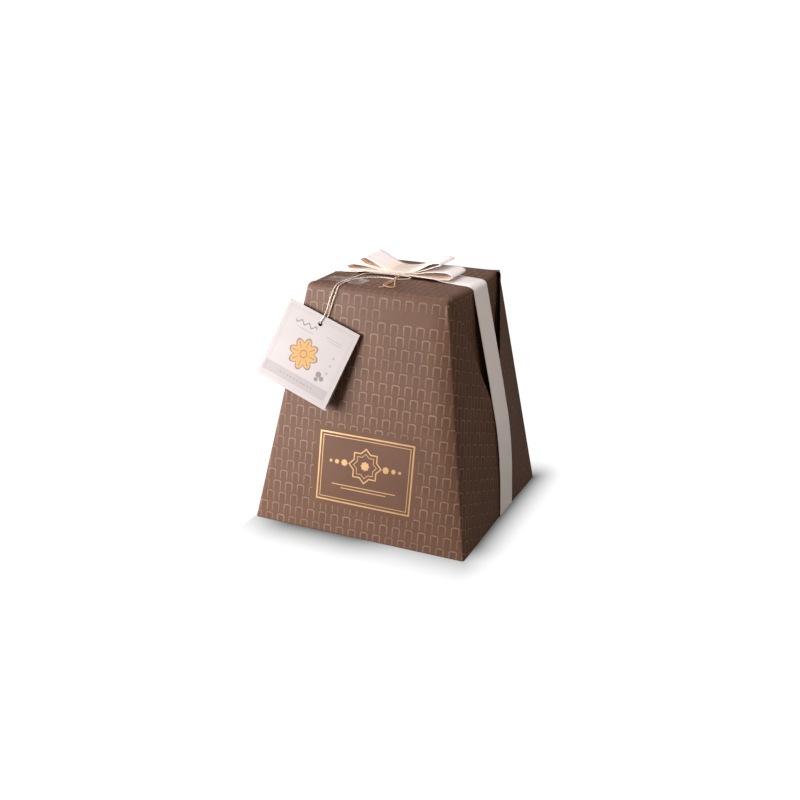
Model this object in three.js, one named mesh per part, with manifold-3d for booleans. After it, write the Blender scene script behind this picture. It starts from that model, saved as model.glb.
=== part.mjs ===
// A gift pack in the shape of a tall cake: a truncated square pyramid wrapped in one sheet of paper,
// tied with one turn of flat ribbon, with a looped bow on top and a card that hangs on twine.
// Millimetres, +Z up. The origin is the middle of the base, and the front faces -Y.
import * as THREE from "three";
import { mergeVertices } from "three/addons/utils/BufferGeometryUtils.js";
import Module from "manifold-3d";

const wasm = await Module();
wasm.setup();

// ---- Driving dimensions -------------------------------------------------------------------------

const BASE_SIDE = 225; // square base
const TOP_SIDE = 145.5; // square top, before its edges are rounded
const HEIGHT = 239.2; // to the top face's edges
const CROWN = 2; // how much the top face bulges
const TOP_EDGE_R = 4.5;
const CORNER_R_TOP = 3; // upright corners, seen from above
const CORNER_R_BASE = 2.2;
const CRISP_REACH = 16; // the top's two back corners stay crisp this far along their edges
const BASE_EDGE_R = 1.8;
const GAP = 0.3; // between pieces that touch

const FOLD_START_IN = 5; // the folds start this far in from the top's corners
const FOLD_TIP_Z = 99.5; // where a side's two folds meet
const FOLD_TIP_Y = 3;
const FOLD_TIP_OUT = 8.2; // how far the folds stand off the side's plane there
const FOLD_SWELL = 0.9; // below 1 the folds swell early on their way down
const FRONT_TUCK = 1.2; // the folds' edges stand off this much more at the top
const BACK_TUCK = 2.5;
const LIP_R = 0.5; // rounding of a fold's free edge
const LIP_HOLLOW = 4; // how far the hollow under that edge reaches
const SEAM_SLIT = 0.8;
const SEAM_DEPTH = 1.5;
const SEAM_Z = 80; // from here down the seam is only a slit
const SEAM_BASE_Y = 10; // the seam below the tip leans back to here
const SEAM_BASE_IN = 1.1; // and the base's edge is drawn in by this much
const SEAM_CURVE = 2.2; // above 1 the seam is upright at the base and leans in towards the tip
const FLAP_DENT = 1.5; // the flap between the folds lies this deep beside them
const FLAP_BULGE = 2.5; // and swells by this much at the top face's edge
const FLAP_BULGE_DROP = 55;

const RIBBON_W = 38;
const RIBBON_T = 0.4;
const RIBBON_Y = { topRight: 2.5, topLeft: 5, baseRight: 14, baseLeft: 8 }; // its middle line
const GROOVE_DEPTH = 1.1; // the base's groove that the ribbon lies in
const GROOVE_W = RIBBON_W + 3;
const EDGE_LIFT = 1.5; // the twine lifts the ribbon's near edge
const LIFT_FROM_X = -52;
const LIFT_TO_X = 48;
const LIFT_RAMP = 14;
const LIFT_TO_W = -2; // and it lies flat from here across
const LIFT_RAMP_W = 11;

const TWINE_R = 0.6;
const TAPE_T = 0.2;

const CARD_SIDE = 80;
const CARD_T = 0.5;
const CARD_TURN = THREE.MathUtils.degToRad(-19.2); // in the front face's plane
const CARD_LEAN = THREE.MathUtils.degToRad(-8); // its foot stands off the face
const CARD_OPENING = THREE.MathUtils.degToRad(3); // between its two leaves
const CARD_AT = { x: -62.4, up: 175, out: 8.8 }; // its middle, along and up the front face, and off it
const CARD_FOLD = 1.5; // how far the leaves stay together below the fold at the card's top
const BACK_LEAF_MORE = 1; // how much longer the back leaf is
const HOLE_R = 2.3;
const HOLE_AT = { x: -1.4, up: 31.5 }; // from the card's middle
const HOLE_REACH = 12; // length of the cut, through both leaves

const KNOT = { x: 1.5, y: -31, over: 2, ring: 1.25, thick: 0.75 }; // the twine's knot on the top face

const TAPE = { x: -42.5, y: -49.5, length: 42, width: 19, turn: THREE.MathUtils.degToRad(-6) };
const TENT_REACH = 4.2; // the tape leaves the paper this far from a strand of twine
const TENT_RAMP = 2.6; // and is as high as the strand after this much

// ---- How finely the surfaces are divided --------------------------------------------------------

const GUSSET_STEPS = 5;
const FLAP_STEPS = 8;
const FACE_STEPS = 6;
const CORNER_STEPS = 4;
const WALL_STEPS_BELOW = 11;
const WALL_STEPS_ABOVE = 12;
const EDGE_ROUND_STEPS = 5;
const CROWN_RINGS = [0.85, 0.65, 0.45, 0.25, 0.1];
const BAND_TOP_STEPS = 13;
const BOW_STEPS = 132;
const TWINE_SIDES = 6;
const HOLE_SIDES = 20;
const TAPE_STEPS = { along: 25, across: 11 };

// ---- Solids -------------------------------------------------------------------------------------

const smooth = (t) => THREE.MathUtils.smoothstep(t, 0, 1);

// Steps from one value up to, but not including, another.
const evenly = (from, to, steps) =>
  Array.from({ length: steps }, (_, i) => THREE.MathUtils.lerp(from, to, i / steps));

function solidOf(geometry) {
  const bare = geometry.index ? geometry.toNonIndexed() : geometry.clone();
  bare.deleteAttribute("normal");
  bare.deleteAttribute("uv");
  const merged = mergeVertices(bare, 1e-4);
  return new wasm.Manifold(
    new wasm.Mesh({
      numProp: 3,
      vertProperties: merged.attributes.position.array,
      triVerts: new Uint32Array(merged.index.array),
    }),
  );
}

function geometryOf(solid) {
  const mesh = solid.getMesh();
  const geometry = new THREE.BufferGeometry();
  geometry.setAttribute("position", new THREE.BufferAttribute(mesh.vertProperties, 3));
  geometry.setIndex(new THREE.BufferAttribute(mesh.triVerts, 1));
  geometry.computeVertexNormals();
  return geometry;
}

// Joins rings of equally many points into a skin. A closed skin's last ring meets its first, and an
// open one is capped at each end with a ladder of triangles.
function skinOf(rings, closed) {
  const n = rings[0].length;
  const points = rings.flat();
  const faces = [];
  const last = closed ? rings.length : rings.length - 1;
  for (let i = 0; i < last; i++) {
    const low = i * n;
    const high = ((i + 1) % rings.length) * n;
    for (let j = 0; j < n; j++) {
      const k = (j + 1) % n;
      faces.push(low + j, low + k, high + k, low + j, high + k, high + j);
    }
  }
  if (!closed) {
    const end = (rings.length - 1) * n;
    for (let j = 0; j < n / 2 - 1; j++) {
      const a = n - 1 - j;
      const b = n - 2 - j;
      faces.push(j, b, j + 1, j, a, b);
      faces.push(end + j, end + j + 1, end + b, end + j, end + b, end + a);
    }
  }
  const geometry = new THREE.BufferGeometry().setFromPoints(points);
  geometry.setIndex(faces);
  geometry.computeVertexNormals();
  return geometry;
}

// ---- The wrapped box ----------------------------------------------------------------------------

const WALL_SLOPE = (BASE_SIDE - TOP_SIDE) / 2 / HEIGHT;
const WALL_LEAN = Math.atan(WALL_SLOPE);
const ROUND_Z = HEIGHT - TOP_EDGE_R; // height of the top edge's centre of rounding
const halfAt = (z) => BASE_SIDE / 2 - WALL_SLOPE * z;
const ROUND_X = halfAt(ROUND_Z) - TOP_EDGE_R / Math.cos(WALL_LEAN);
const cornerR = (z) => THREE.MathUtils.lerp(CORNER_R_BASE, CORNER_R_TOP, z / HEIGHT);

// The edge of a side face's front (-1) or back (1) fold: straight from the top corner to the tip,
// then the seam.
function foldY(side, z) {
  const tip = seamY(Math.min(z, FOLD_TIP_Z)) + (side * SEAM_SLIT) / 2;
  const t = Math.max(0, (z - FOLD_TIP_Z) / (HEIGHT - FOLD_TIP_Z));
  return THREE.MathUtils.lerp(tip, side * (TOP_SIDE / 2 - FOLD_START_IN), t);
}

// Where the two folds meet, from the tip down to the base.
const seamY = (z) => THREE.MathUtils.lerp(SEAM_BASE_Y, FOLD_TIP_Y, z / FOLD_TIP_Z);

// How far the folds' edges stand off the side's plane.
function foldOut(z) {
  if (z > FOLD_TIP_Z) {
    return FOLD_TIP_OUT * ((HEIGHT + 1 - z) / (HEIGHT + 1 - FOLD_TIP_Z)) ** FOLD_SWELL;
  }
  const foot = BASE_SIDE / 2 - SEAM_BASE_IN;
  const lean = foot - (halfAt(FOLD_TIP_Z) + FOLD_TIP_OUT);
  return foot - lean * (z / FOLD_TIP_Z) ** SEAM_CURVE - halfAt(z);
}

// How much more the front (-1) or back (1) fold's edge stands off, from nothing at the tip.
function tuckOut(side, z) {
  const high = Math.max(0, (z - FOLD_TIP_Z) / (HEIGHT - FOLD_TIP_Z));
  return (side > 0 ? BACK_TUCK : FRONT_TUCK) * high;
}

// The flap between the folds.
function flapOut(y, z) {
  const width = halfAt(z) - cornerR(z);
  const middle = Math.cos((Math.min(1, Math.abs(y) / width) * Math.PI) / 2);
  const high = smooth((z - HEIGHT + FLAP_BULGE_DROP) / FLAP_BULGE_DROP);
  const open = -FLAP_DENT + (FLAP_DENT + FLAP_BULGE) * middle * high;
  const shut = foldOut(z) - SEAM_DEPTH;
  return THREE.MathUtils.lerp(shut, open, smooth((z - SEAM_Z) / (FOLD_TIP_Z - SEAM_Z)));
}

const GUSSET_CURVE = 1.2; // above 1 a gusset is hollow towards the upright corner
const LEAST_GUSSET = 0.5; // a gusset's width where its fold runs into the corner

// Points of one gusset from the upright corner's end to the fold's edge, then round the edge's lip
// and back under it, as [y, out]. side is -1 for the front gusset and 1 for the back one. The lip and
// its hollow keep to shares of the fold's depth and width, which shrink towards the top corners. A
// plain gusset has as many points and no lip.
function gusset(side, z, plain) {
  const from = halfAt(z) - cornerR(z);
  const edge = Math.min(from - LEAST_GUSSET, side * foldY(side, z));
  const out = foldOut(z) + tuckOut(side, z);
  const floor = flapOut(side * edge, z);
  const depth = out - floor;
  const lip = Math.min(LIP_R, depth * 0.25, (from - edge) * 0.4);
  const under = Math.min(LIP_HOLLOW, depth * 0.55, (from - edge) * 0.6);
  const points = [];
  for (let i = 1; i <= GUSSET_STEPS; i++) {
    const t = i / GUSSET_STEPS;
    const y = THREE.MathUtils.lerp(from, edge + lip, t);
    points.push([side * y, out * t ** GUSSET_CURVE]);
  }
  if (plain) {
    for (const part of [0.75, 0.5, 0.25]) {
      points.push([side * (edge + part * lip), out]);
    }
    return points;
  }
  points.push([side * edge, out - lip]);
  points.push([side * (edge + lip), out - 2 * lip]);
  points.push([side * (edge + under), floor]);
  return points;
}

// One side face's points from its front corner to its back corner, as [y, out].
function sideProfile(z, plain = false) {
  const front = gusset(-1, z, plain);
  const back = gusset(1, z, plain).reverse();
  const a = front[front.length - 1][0];
  const b = back[0][0];
  const flap = [];
  for (let i = 1; i < FLAP_STEPS; i++) {
    const y = THREE.MathUtils.lerp(a, b, i / FLAP_STEPS);
    flap.push([y, plain ? foldOut(z) : flapOut(y, z)]);
  }
  return [...front, ...flap, ...back];
}

// Above this height the folds' shape stays as it is here while the edge's rounding takes it away.
const LAST_FOLD_Z = HEIGHT - 4;

// One level of the wrapped box, anticlockwise seen from above. profileZ picks the folds' shape,
// half and radius the outline's size, and strength how much of the folds' relief is left.
function level(z, profileZ, half, radius, strength, plain = false) {
  const profile = sideProfile(profileZ, plain);
  const scale = (half - radius) / (halfAt(profileZ) - cornerR(profileZ));
  const points = [];
  const corner = (quarter) => {
    for (let i = 0; i <= CORNER_STEPS; i++) {
      const a = ((quarter + i / CORNER_STEPS) * Math.PI) / 2;
      const sx = quarter === 0 || quarter === 3 ? 1 : -1;
      const sy = quarter < 2 ? 1 : -1;
      points.push(
        new THREE.Vector3(
          sx * (half - radius) + radius * Math.cos(a),
          sy * (half - radius) + radius * Math.sin(a),
          z,
        ),
      );
    }
  };
  const face = (sy) => {
    for (let i = 1; i < FACE_STEPS; i++) {
      const x = (half - radius) * (1 - (2 * i) / FACE_STEPS) * sy;
      points.push(new THREE.Vector3(x, sy * half, z));
    }
  };
  const side = (sx) => {
    const run = sx > 0 ? profile : [...profile].reverse();
    for (const [y, out] of run) {
      points.push(new THREE.Vector3(sx * (half + out * strength), y * scale, z));
    }
  };
  side(1);
  corner(0);
  face(1);
  corner(1);
  side(-1);
  corner(2);
  face(-1);
  corner(3);
  return points;
}

function topZ(x, y) {
  const reach = Math.min(1, Math.max(Math.abs(x), Math.abs(y)) / ROUND_X);
  return HEIGHT + CROWN * (1 - reach ** 2);
}

// The walls' levels: evenly spaced up to the folds' tip, which is one of them, and on to the top.
const WALL_LEVELS = [
  ...evenly(BASE_EDGE_R, FOLD_TIP_Z, WALL_STEPS_BELOW),
  ...evenly(FOLD_TIP_Z, ROUND_Z, WALL_STEPS_ABOVE),
];

// How much of the folds' relief is left at an angle round the top edge.
const reliefLeft = (angle) => Math.cos(angle) ** 0.7;

// Makes the rounding of the top edge fuller near the two back corners, where folded paper fills it.
// half is the level's half side and angle its place in the rounding.
function fillCorners(points, half, angle) {
  const near = (v) => smooth((v - half + CRISP_REACH) / CRISP_REACH);
  const squarer = TOP_EDGE_R * (1 / Math.max(Math.cos(angle), Math.sin(angle)) - 1);
  for (const p of points) {
    const more = squarer * near(Math.abs(p.x)) * near(p.y);
    p.x += Math.sign(p.x) * more * Math.cos(angle);
    p.y += more * Math.cos(angle);
    p.z += more * Math.sin(angle);
  }
  return points;
}

function wrappedBox() {
  const rings = [];
  const footHalf = halfAt(0) - BASE_EDGE_R;
  const footInner = 0.3; // share of the base that its middle triangles cover
  rings.push(level(0, 0, footHalf * footInner, CORNER_R_BASE * footInner, 0, true));
  rings.push(level(0, 0, footHalf, CORNER_R_BASE, 1, true));
  const knee = BASE_EDGE_R * (1 - Math.SQRT1_2);
  rings.push(level(knee, 0, halfAt(0) - knee, CORNER_R_BASE, 1, true));
  for (const z of WALL_LEVELS) {
    rings.push(level(z, z, halfAt(z), cornerR(z), 1));
  }
  const innerR = CORNER_R_TOP * 0.75; // the corners' rounding where the top face begins
  for (let i = 0; i <= EDGE_ROUND_STEPS; i++) {
    const t = i / EDGE_ROUND_STEPS;
    const a = THREE.MathUtils.lerp(WALL_LEAN, Math.PI / 2, t);
    const half = ROUND_X + TOP_EDGE_R * Math.cos(a);
    const z = ROUND_Z + TOP_EDGE_R * Math.sin(a);
    const radius = THREE.MathUtils.lerp(CORNER_R_TOP, innerR, t);
    const points = level(z, Math.min(z, LAST_FOLD_Z), half, radius, reliefLeft(a), t === 1);
    rings.push(fillCorners(points, half, a));
  }
  for (const t of CROWN_RINGS) {
    rings.push(level(topZ(t * ROUND_X, 0), LAST_FOLD_Z, t * ROUND_X, innerR * t, 0, true));
  }
  return solidOf(skinOf(rings, false)).subtract(groove());
}

// The groove across the base that the ribbon lies in.
function groove() {
  const slot = new THREE.BoxGeometry(BASE_SIDE * 1.2, GROOVE_W, 2 * GROOVE_DEPTH);
  slot.rotateZ(Math.atan2(RIBBON_Y.baseRight - RIBBON_Y.baseLeft, BASE_SIDE));
  slot.translate(0, (RIBBON_Y.baseRight + RIBBON_Y.baseLeft) / 2, 0);
  return solidOf(slot);
}

// ---- The ribbon's turn round the box ------------------------------------------------------------

// Points across the ribbon, closer together where its near edge is lifted.
const ACROSS = [-0.5, -0.4, -0.24, -0.08, 0.13, 0.32, 0.5].map((w) => w * RIBBON_W);
const UNDER_SAMPLES = 40;
const FACING = 0.9; // a part of the turn whose normal is this near upright is over or under the box

// The middle line's y on the right (1) or left (-1) side face.
function ribbonY(side, z) {
  const top = side > 0 ? RIBBON_Y.topRight : RIBBON_Y.topLeft;
  const base = side > 0 ? RIBBON_Y.baseRight : RIBBON_Y.baseLeft;
  return THREE.MathUtils.lerp(base, top, z / HEIGHT);
}

// The furthest that a side face reaches out under the ribbon.
function reachUnder(side, z) {
  const middle = ribbonY(side, z);
  const profile = sideProfile(Math.min(z, LAST_FOLD_Z));
  let out = -Infinity;
  for (let i = 0; i <= UNDER_SAMPLES; i++) {
    const y = middle + (i / UNDER_SAMPLES - 0.5) * RIBBON_W;
    out = Math.max(out, outAt(profile, y));
  }
  return out;
}

// A profile's largest reach at one y: its lips double back, so every stretch over y counts.
function outAt(profile, y) {
  let out = -Infinity;
  for (let i = 1; i < profile.length; i++) {
    const [ya, a] = profile[i - 1];
    const [yb, b] = profile[i];
    if ((ya - y) * (yb - y) <= 0 && ya !== yb) {
      out = Math.max(out, a + ((b - a) * (y - ya)) / (yb - ya));
    }
  }
  return out;
}

// The box's outline under the ribbon, as seen from the front, for the right (1) or left (-1) half.
function halfOutline(side) {
  const points = [[side * (halfAt(0) + reachUnder(side, 0) + GAP), GROOVE_DEPTH]];
  for (const z of WALL_LEVELS) {
    points.push([side * (halfAt(z) + reachUnder(side, z)), z]);
  }
  for (let i = 0; i <= EDGE_ROUND_STEPS; i++) {
    const a = THREE.MathUtils.lerp(WALL_LEAN, Math.PI / 2, i / EDGE_ROUND_STEPS);
    const z = ROUND_Z + TOP_EDGE_R * Math.sin(a);
    const out = reachUnder(side, z) * reliefLeft(a);
    points.push([side * (ROUND_X + TOP_EDGE_R * Math.cos(a) + out), z]);
  }
  for (const x of evenly(ROUND_X, 0, BAND_TOP_STEPS).slice(1)) {
    points.push([side * x, topZ(x, 0)]);
  }
  return points;
}

// A taut ribbon lies on the convex hull of what it goes round (Andrew's monotone chain).
function hullOf(points) {
  const sorted = [...points].sort((p, q) => p[0] - q[0] || p[1] - q[1]);
  const turn = (o, a, b) => (a[0] - o[0]) * (b[1] - o[1]) - (a[1] - o[1]) * (b[0] - o[0]);
  const chain = (list) => {
    const out = [];
    for (const p of list) {
      while (out.length > 1 && turn(out[out.length - 2], out[out.length - 1], p) <= 0) {
        out.pop();
      }
      out.push(p);
    }
    out.pop();
    return out;
  };
  return [...chain(sorted), ...chain(sorted.reverse())];
}

// Moves a closed anticlockwise outline out by a distance, and its corners by at most twice that.
function movedOut(points, distance) {
  const n = points.length;
  return points.map((p, i) => {
    const before = points[(i + n - 1) % n];
    const after = points[(i + 1) % n];
    const a = new THREE.Vector2(p[1] - before[1], before[0] - p[0]).normalize();
    const b = new THREE.Vector2(after[1] - p[1], p[0] - after[0]).normalize();
    const normal = a.clone().add(b).normalize();
    const reach = distance / Math.max(0.5, normal.dot(a));
    return { x: p[0] + normal.x * reach, z: p[1] + normal.y * reach, normal };
  });
}

// How much the near edge is lifted at x, for a point w off the middle line.
function liftAt(x, w) {
  const along = smooth((x - LIFT_FROM_X) / LIFT_RAMP) * smooth((LIFT_TO_X - x) / LIFT_RAMP);
  return EDGE_LIFT * along * smooth((LIFT_TO_W - w) / LIFT_RAMP_W);
}

function ribbonBand() {
  const outline = hullOf([...halfOutline(1), ...halfOutline(-1), [0, topZ(0, 0)]]);
  const line = movedOut(outline, GAP + RIBBON_T / 2);
  const rings = line.map(({ x, z, normal }) => {
    const over = normal.y > FACING;
    const under = normal.y < -FACING;
    let middle = ribbonY(Math.sign(x), z);
    if (over) {
      middle = THREE.MathUtils.lerp(RIBBON_Y.topLeft, RIBBON_Y.topRight, x / TOP_SIDE + 0.5);
    }
    if (under) {
      middle = THREE.MathUtils.lerp(RIBBON_Y.baseLeft, RIBBON_Y.baseRight, x / BASE_SIDE + 0.5);
    }
    const at = (w, s) => {
      const lift = over ? liftAt(x, w) : 0;
      const d = (s * RIBBON_T) / 2;
      return new THREE.Vector3(x + normal.x * d, middle + w, z + normal.y * d + lift);
    };
    return [...ACROSS.map((w) => at(w, 1)), ...[...ACROSS].reverse().map((w) => at(w, -1))];
  });
  return solidOf(skinOf(rings, true));
}

// ---- The bow ------------------------------------------------------------------------------------

const BOW_Y = 3;
const RISE_SCALE = 100; // a rise across is kept in the route's y, this many times as large

// The bow is one strip. Its middle line as [x, height over the top face's edges, rise across]: the
// lower right loop, the lower left one, the upper right one and the upper left one.
const BOW_LINE = [
  [-9, 4.7, 0],
  [8, 4.7, 0],
  [26, 4.3, 0],
  [44, 3.9, 0],
  [52, 5.2, 0],
  [53.6, 7.6, 0],
  [49.5, 10.2, 0],
  [40, 10.7, 0],
  [27, 9, 0],
  [13, 6.3, 0],
  [0, 5.4, 0],
  [-14, 5.3, 0],
  [-32, 4.8, 0],
  [-50, 4.3, 0],
  [-57, 5.2, 0],
  [-58.6, 7.2, 0],
  [-54, 9.4, 0],
  [-42, 9.6, 0],
  [-28, 7.9, 0],
  [-14, 6.2, 0],
  [0, 6.2, 0],
  [10, 7.4, 0.01],
  [20, 10.4, 0.04],
  [30, 14, 0.04],
  [37.5, 16.6, 0.02],
  [41.4, 17.8, 0],
  [39.4, 19.2, 0],
  [31, 18, 0.02],
  [21, 13.2, 0.06],
  [10, 8.8, 0.06],
  [0, 7.3, 0.03],
  [-13, 7.7, 0.01],
  [-24.5, 12, 0.02],
  [-33.5, 16.2, 0.03],
  [-40, 18.2, 0.03],
  [-43.8, 15.8, 0.03],
  [-41, 12.6, 0.02],
  [-32, 9.5, 0.01],
  [-22, 7.9, 0],
  [-14, 7, 0],
];

function bow() {
  const route = new THREE.CatmullRomCurve3(
    BOW_LINE.map(([x, up, rise]) => new THREE.Vector3(x, rise * RISE_SCALE, HEIGHT + up)),
    false,
    "centripetal",
  );
  const across = [-0.5, -0.25, 0, 0.25, 0.5].map((w) => w * RIBBON_W);
  const rings = [];
  for (let i = 0; i <= BOW_STEPS; i++) {
    const p = route.getPoint(i / BOW_STEPS);
    const tangent = route.getTangent(i / BOW_STEPS).setY(0).normalize();
    const normal = new THREE.Vector3(-tangent.z, 0, tangent.x);
    const at = (w, s) =>
      new THREE.Vector3(
        p.x + (normal.x * s * RIBBON_T) / 2,
        BOW_Y + w,
        p.z + (normal.z * s * RIBBON_T) / 2 + (w * p.y) / RISE_SCALE,
      );
    rings.push([...across.map((w) => at(w, -1)), ...[...across].reverse().map((w) => at(w, 1))]);
  }
  return solidOf(skinOf(rings, false));
}

// ---- The card -----------------------------------------------------------------------------------

// The card's own axes in the part: x across, y up, z out of its front leaf.
function cardFrame() {
  const frame = new THREE.Matrix4();
  frame.makeTranslation(0, -BASE_SIDE / 2, 0);
  frame.multiply(new THREE.Matrix4().makeRotationX(Math.PI / 2 - WALL_LEAN));
  frame.multiply(new THREE.Matrix4().makeTranslation(CARD_AT.x, CARD_AT.up, CARD_AT.out));
  frame.multiply(new THREE.Matrix4().makeRotationZ(CARD_TURN));
  frame.multiply(new THREE.Matrix4().makeRotationX(CARD_LEAN));
  return frame;
}

function card() {
  const top = CARD_SIDE / 2;
  const split = top - CARD_FOLD;
  const foot = -top - BACK_LEAF_MORE;
  const footOut = -CARD_T - (split - foot) * Math.tan(CARD_OPENING);
  // One sheet's outline as [up, out]: down the front leaf, up between the two and round the back one.
  const outline = [
    [top, 0],
    [-top, 0],
    [-top, -CARD_T],
    [split, -CARD_T],
    [foot, footOut],
    [foot, footOut - CARD_T],
    [split, -2 * CARD_T],
    [top, -2 * CARD_T],
  ];
  const shape = new THREE.Shape(outline.map(([up, out]) => new THREE.Vector2(up, out)));
  const leaves = new THREE.ExtrudeGeometry(shape, { depth: CARD_SIDE, bevelEnabled: false });
  leaves.translate(0, 0, -top);
  const axes = [
    new THREE.Vector3(0, 1, 0),
    new THREE.Vector3(0, 0, 1),
    new THREE.Vector3(1, 0, 0),
  ];
  leaves.applyMatrix4(new THREE.Matrix4().makeBasis(...axes));
  const hole = new THREE.CylinderGeometry(HOLE_R, HOLE_R, HOLE_REACH, HOLE_SIDES);
  hole.rotateX(Math.PI / 2);
  hole.translate(HOLE_AT.x, HOLE_AT.up, 0);
  return solidOf(leaves).subtract(solidOf(hole));
}

// ---- The twine ----------------------------------------------------------------------------------

// A route whose steps follow its points, so that it has more of them where the points are close.
class Route extends THREE.CatmullRomCurve3 {
  getUtoTmapping(u) {
    return u;
  }
}

const onTop = (x, y, lift = 0) => new THREE.Vector3(x, y, topZ(x, y) + GAP + TWINE_R + lift);

// A point over the front face: across, height, and how far the twine's skin stands off the face.
function onFront(x, z, off) {
  const out = (off + TWINE_R) / Math.cos(WALL_LEAN);
  return new THREE.Vector3(x, -halfAt(z) - out, z);
}

// A point in the card's own axes, from its hole.
function atHole(x, up, out) {
  return new THREE.Vector3(HOLE_AT.x + x, HOLE_AT.up + up, out).applyMatrix4(cardFrame());
}

// A point over the front edge of the top face, at an angle above the front.
function overEdge(x, degrees) {
  const r = TOP_EDGE_R + GAP + TWINE_R;
  const a = THREE.MathUtils.degToRad(degrees);
  return new THREE.Vector3(x, -ROUND_X - r * Math.cos(a), ROUND_Z + r * Math.sin(a));
}

// From the knot over the front edge, through the card's hole, back over the edge, under the ribbon
// and out from under it to the knot.
function twineRoute() {
  return [
    onTop(KNOT.x, KNOT.y, 0.3),
    onTop(-8.5, -28.2),
    onTop(-19, -30.5),
    onTop(-29, -37),
    onTop(-35.5, -47),
    onTop(-38.5, -57),
    overEdge(-39, 90),
    overEdge(-39.6, 53),
    onFront(-41, 233.5, 0.5),
    onFront(-43.6, 225, 0.5),
    onFront(-46.2, 215, 0.5),
    atHole(3.2, 4.5, -2.2),
    atHole(1, 1.7, -2.6),
    atHole(0, 0.7, -1.4),
    atHole(-0.3, 0.6, -0.2),
    atHole(-0.4, 1.4, 0.8),
    atHole(-0.2, 3.2, 1.05),
    atHole(0.4, 7.5, 1.05),
    onFront(-48.6, 216, 2.4),
    onFront(-46.8, 226, 0.9),
    onFront(-44.4, 234, 0.5),
    overEdge(-42.9, 53),
    overEdge(-42.6, 90),
    onTop(-42.3, -57),
    onTop(-40.8, -48),
    onTop(-38.8, -38),
    onTop(-38.2, -28),
    onTop(-37, -20.5),
    onTop(-31, -14.6),
    onTop(-22, -13.3),
    onTop(-10, -13.2),
    onTop(2, -13.4),
    onTop(9.6, -15.4),
    onTop(12, -20.2),
    onTop(8.5, -26),
    onTop(KNOT.x, KNOT.y, 0.3),
  ];
}

// Points beside the knot as [x, y, lift], each from the knot's middle: the short end that stands up
// towards the ribbon, the loop that lies to the front, and the long end beside it.
const SHORT_END = [
  [0.3, -0.4, 0.45],
  [0.4, 3.5, 1.6],
  [0.4, 7.5, 2.4],
  [-0.6, 10.6, 3.6],
];
const LOOP = [
  [0.1, 0.5, 0.65],
  [1.8, -6, 0.6],
  [5, -14, 0],
  [8.4, -21.5, 0],
  [9.8, -25.6, 0],
  [8.4, -27.6, 0],
  [4.4, -28.8, 0.5],
  [0.8, -28.9, 1.4],
  [-0.7, -26.6, 1.5],
  [-1.2, -19, 1.4],
  [-1, -9, 1],
  [-0.45, 0.35, 0.85],
];
const LONG_END = [
  [-0.2, 0.6, 0.35],
  [0.4, -9, 0],
  [-0.6, -20, 0],
  [0.4, -28, 0],
  [-3.4, -32, 0],
];

const fromKnot = (points) => points.map(([x, y, lift]) => onTop(KNOT.x + x, KNOT.y + y, lift));

function strand(points, steps) {
  const section = new THREE.Shape();
  for (let i = 0; i < TWINE_SIDES; i++) {
    const a = (2 * Math.PI * i) / TWINE_SIDES;
    const method = i ? "lineTo" : "moveTo";
    section[method](TWINE_R * Math.cos(a), TWINE_R * Math.sin(a));
  }
  section.closePath();
  const extrudePath = new Route(points, false, "centripetal");
  return solidOf(new THREE.ExtrudeGeometry(section, { steps, extrudePath, bevelEnabled: false }));
}

function twine() {
  const knot = new THREE.TorusGeometry(KNOT.ring, KNOT.thick, 8, 14);
  knot.rotateY(Math.PI / 2);
  knot.translate(KNOT.x, KNOT.y, topZ(KNOT.x, KNOT.y) + GAP + KNOT.over);
  return strand(twineRoute(), 105)
    .add(solidOf(knot))
    .add(strand(fromKnot(SHORT_END), 10))
    .add(strand(fromKnot(LOOP), 33))
    .add(strand(fromKnot(LONG_END), 16));
}

// ---- The tape -----------------------------------------------------------------------------------

// The tape's height over the paper at a point: nothing, or a strand's height over and near a strand.
function tapeLift(x, y, strands) {
  const near = Math.min(...strands.map((s) => Math.hypot(x - s.x, y - s.y)));
  return (2 * TWINE_R + GAP) * smooth((TENT_REACH - near) / TENT_RAMP);
}

// How far the rounded edge lies below the top face at a point.
function edgeDrop(x, y) {
  const over = Math.max(0, Math.max(Math.abs(x), Math.abs(y)) - ROUND_X);
  return TOP_EDGE_R - Math.sqrt(TOP_EDGE_R ** 2 - over ** 2);
}

function tape() {
  const route = new Route(twineRoute(), false, "centripetal");
  const strands = route.getPoints(400).filter((p) => p.z > HEIGHT - TOP_EDGE_R / 4);
  const turn = new THREE.Matrix4().makeRotationZ(TAPE.turn).setPosition(TAPE.x, TAPE.y, 0);
  const at = (i, j, up) => {
    const u = (i / TAPE_STEPS.along - 0.5) * TAPE.length;
    const v = (j / TAPE_STEPS.across - 0.5) * TAPE.width;
    const p = new THREE.Vector3(u, v, 0).applyMatrix4(turn);
    p.z = topZ(p.x, p.y) - edgeDrop(p.x, p.y) + GAP + tapeLift(p.x, p.y, strands) + up;
    return p;
  };
  const rings = [];
  for (let i = 0; i <= TAPE_STEPS.along; i++) {
    const ring = [];
    for (let j = 0; j <= TAPE_STEPS.across; j++) {
      ring.push(at(i, j, 0));
    }
    for (let j = TAPE_STEPS.across; j >= 0; j--) {
      ring.push(at(i, j, TAPE_T));
    }
    rings.push(ring);
  }
  return solidOf(skinOf(rings, false));
}

// ---- The scene graph ----------------------------------------------------------------------------

function piece(name, solid, color, roughness, extra = {}) {
  const material = new THREE.MeshStandardMaterial({ color, roughness, metalness: 0, ...extra });
  const mesh = new THREE.Mesh(geometryOf(solid), material);
  mesh.name = name;
  return mesh;
}

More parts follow.
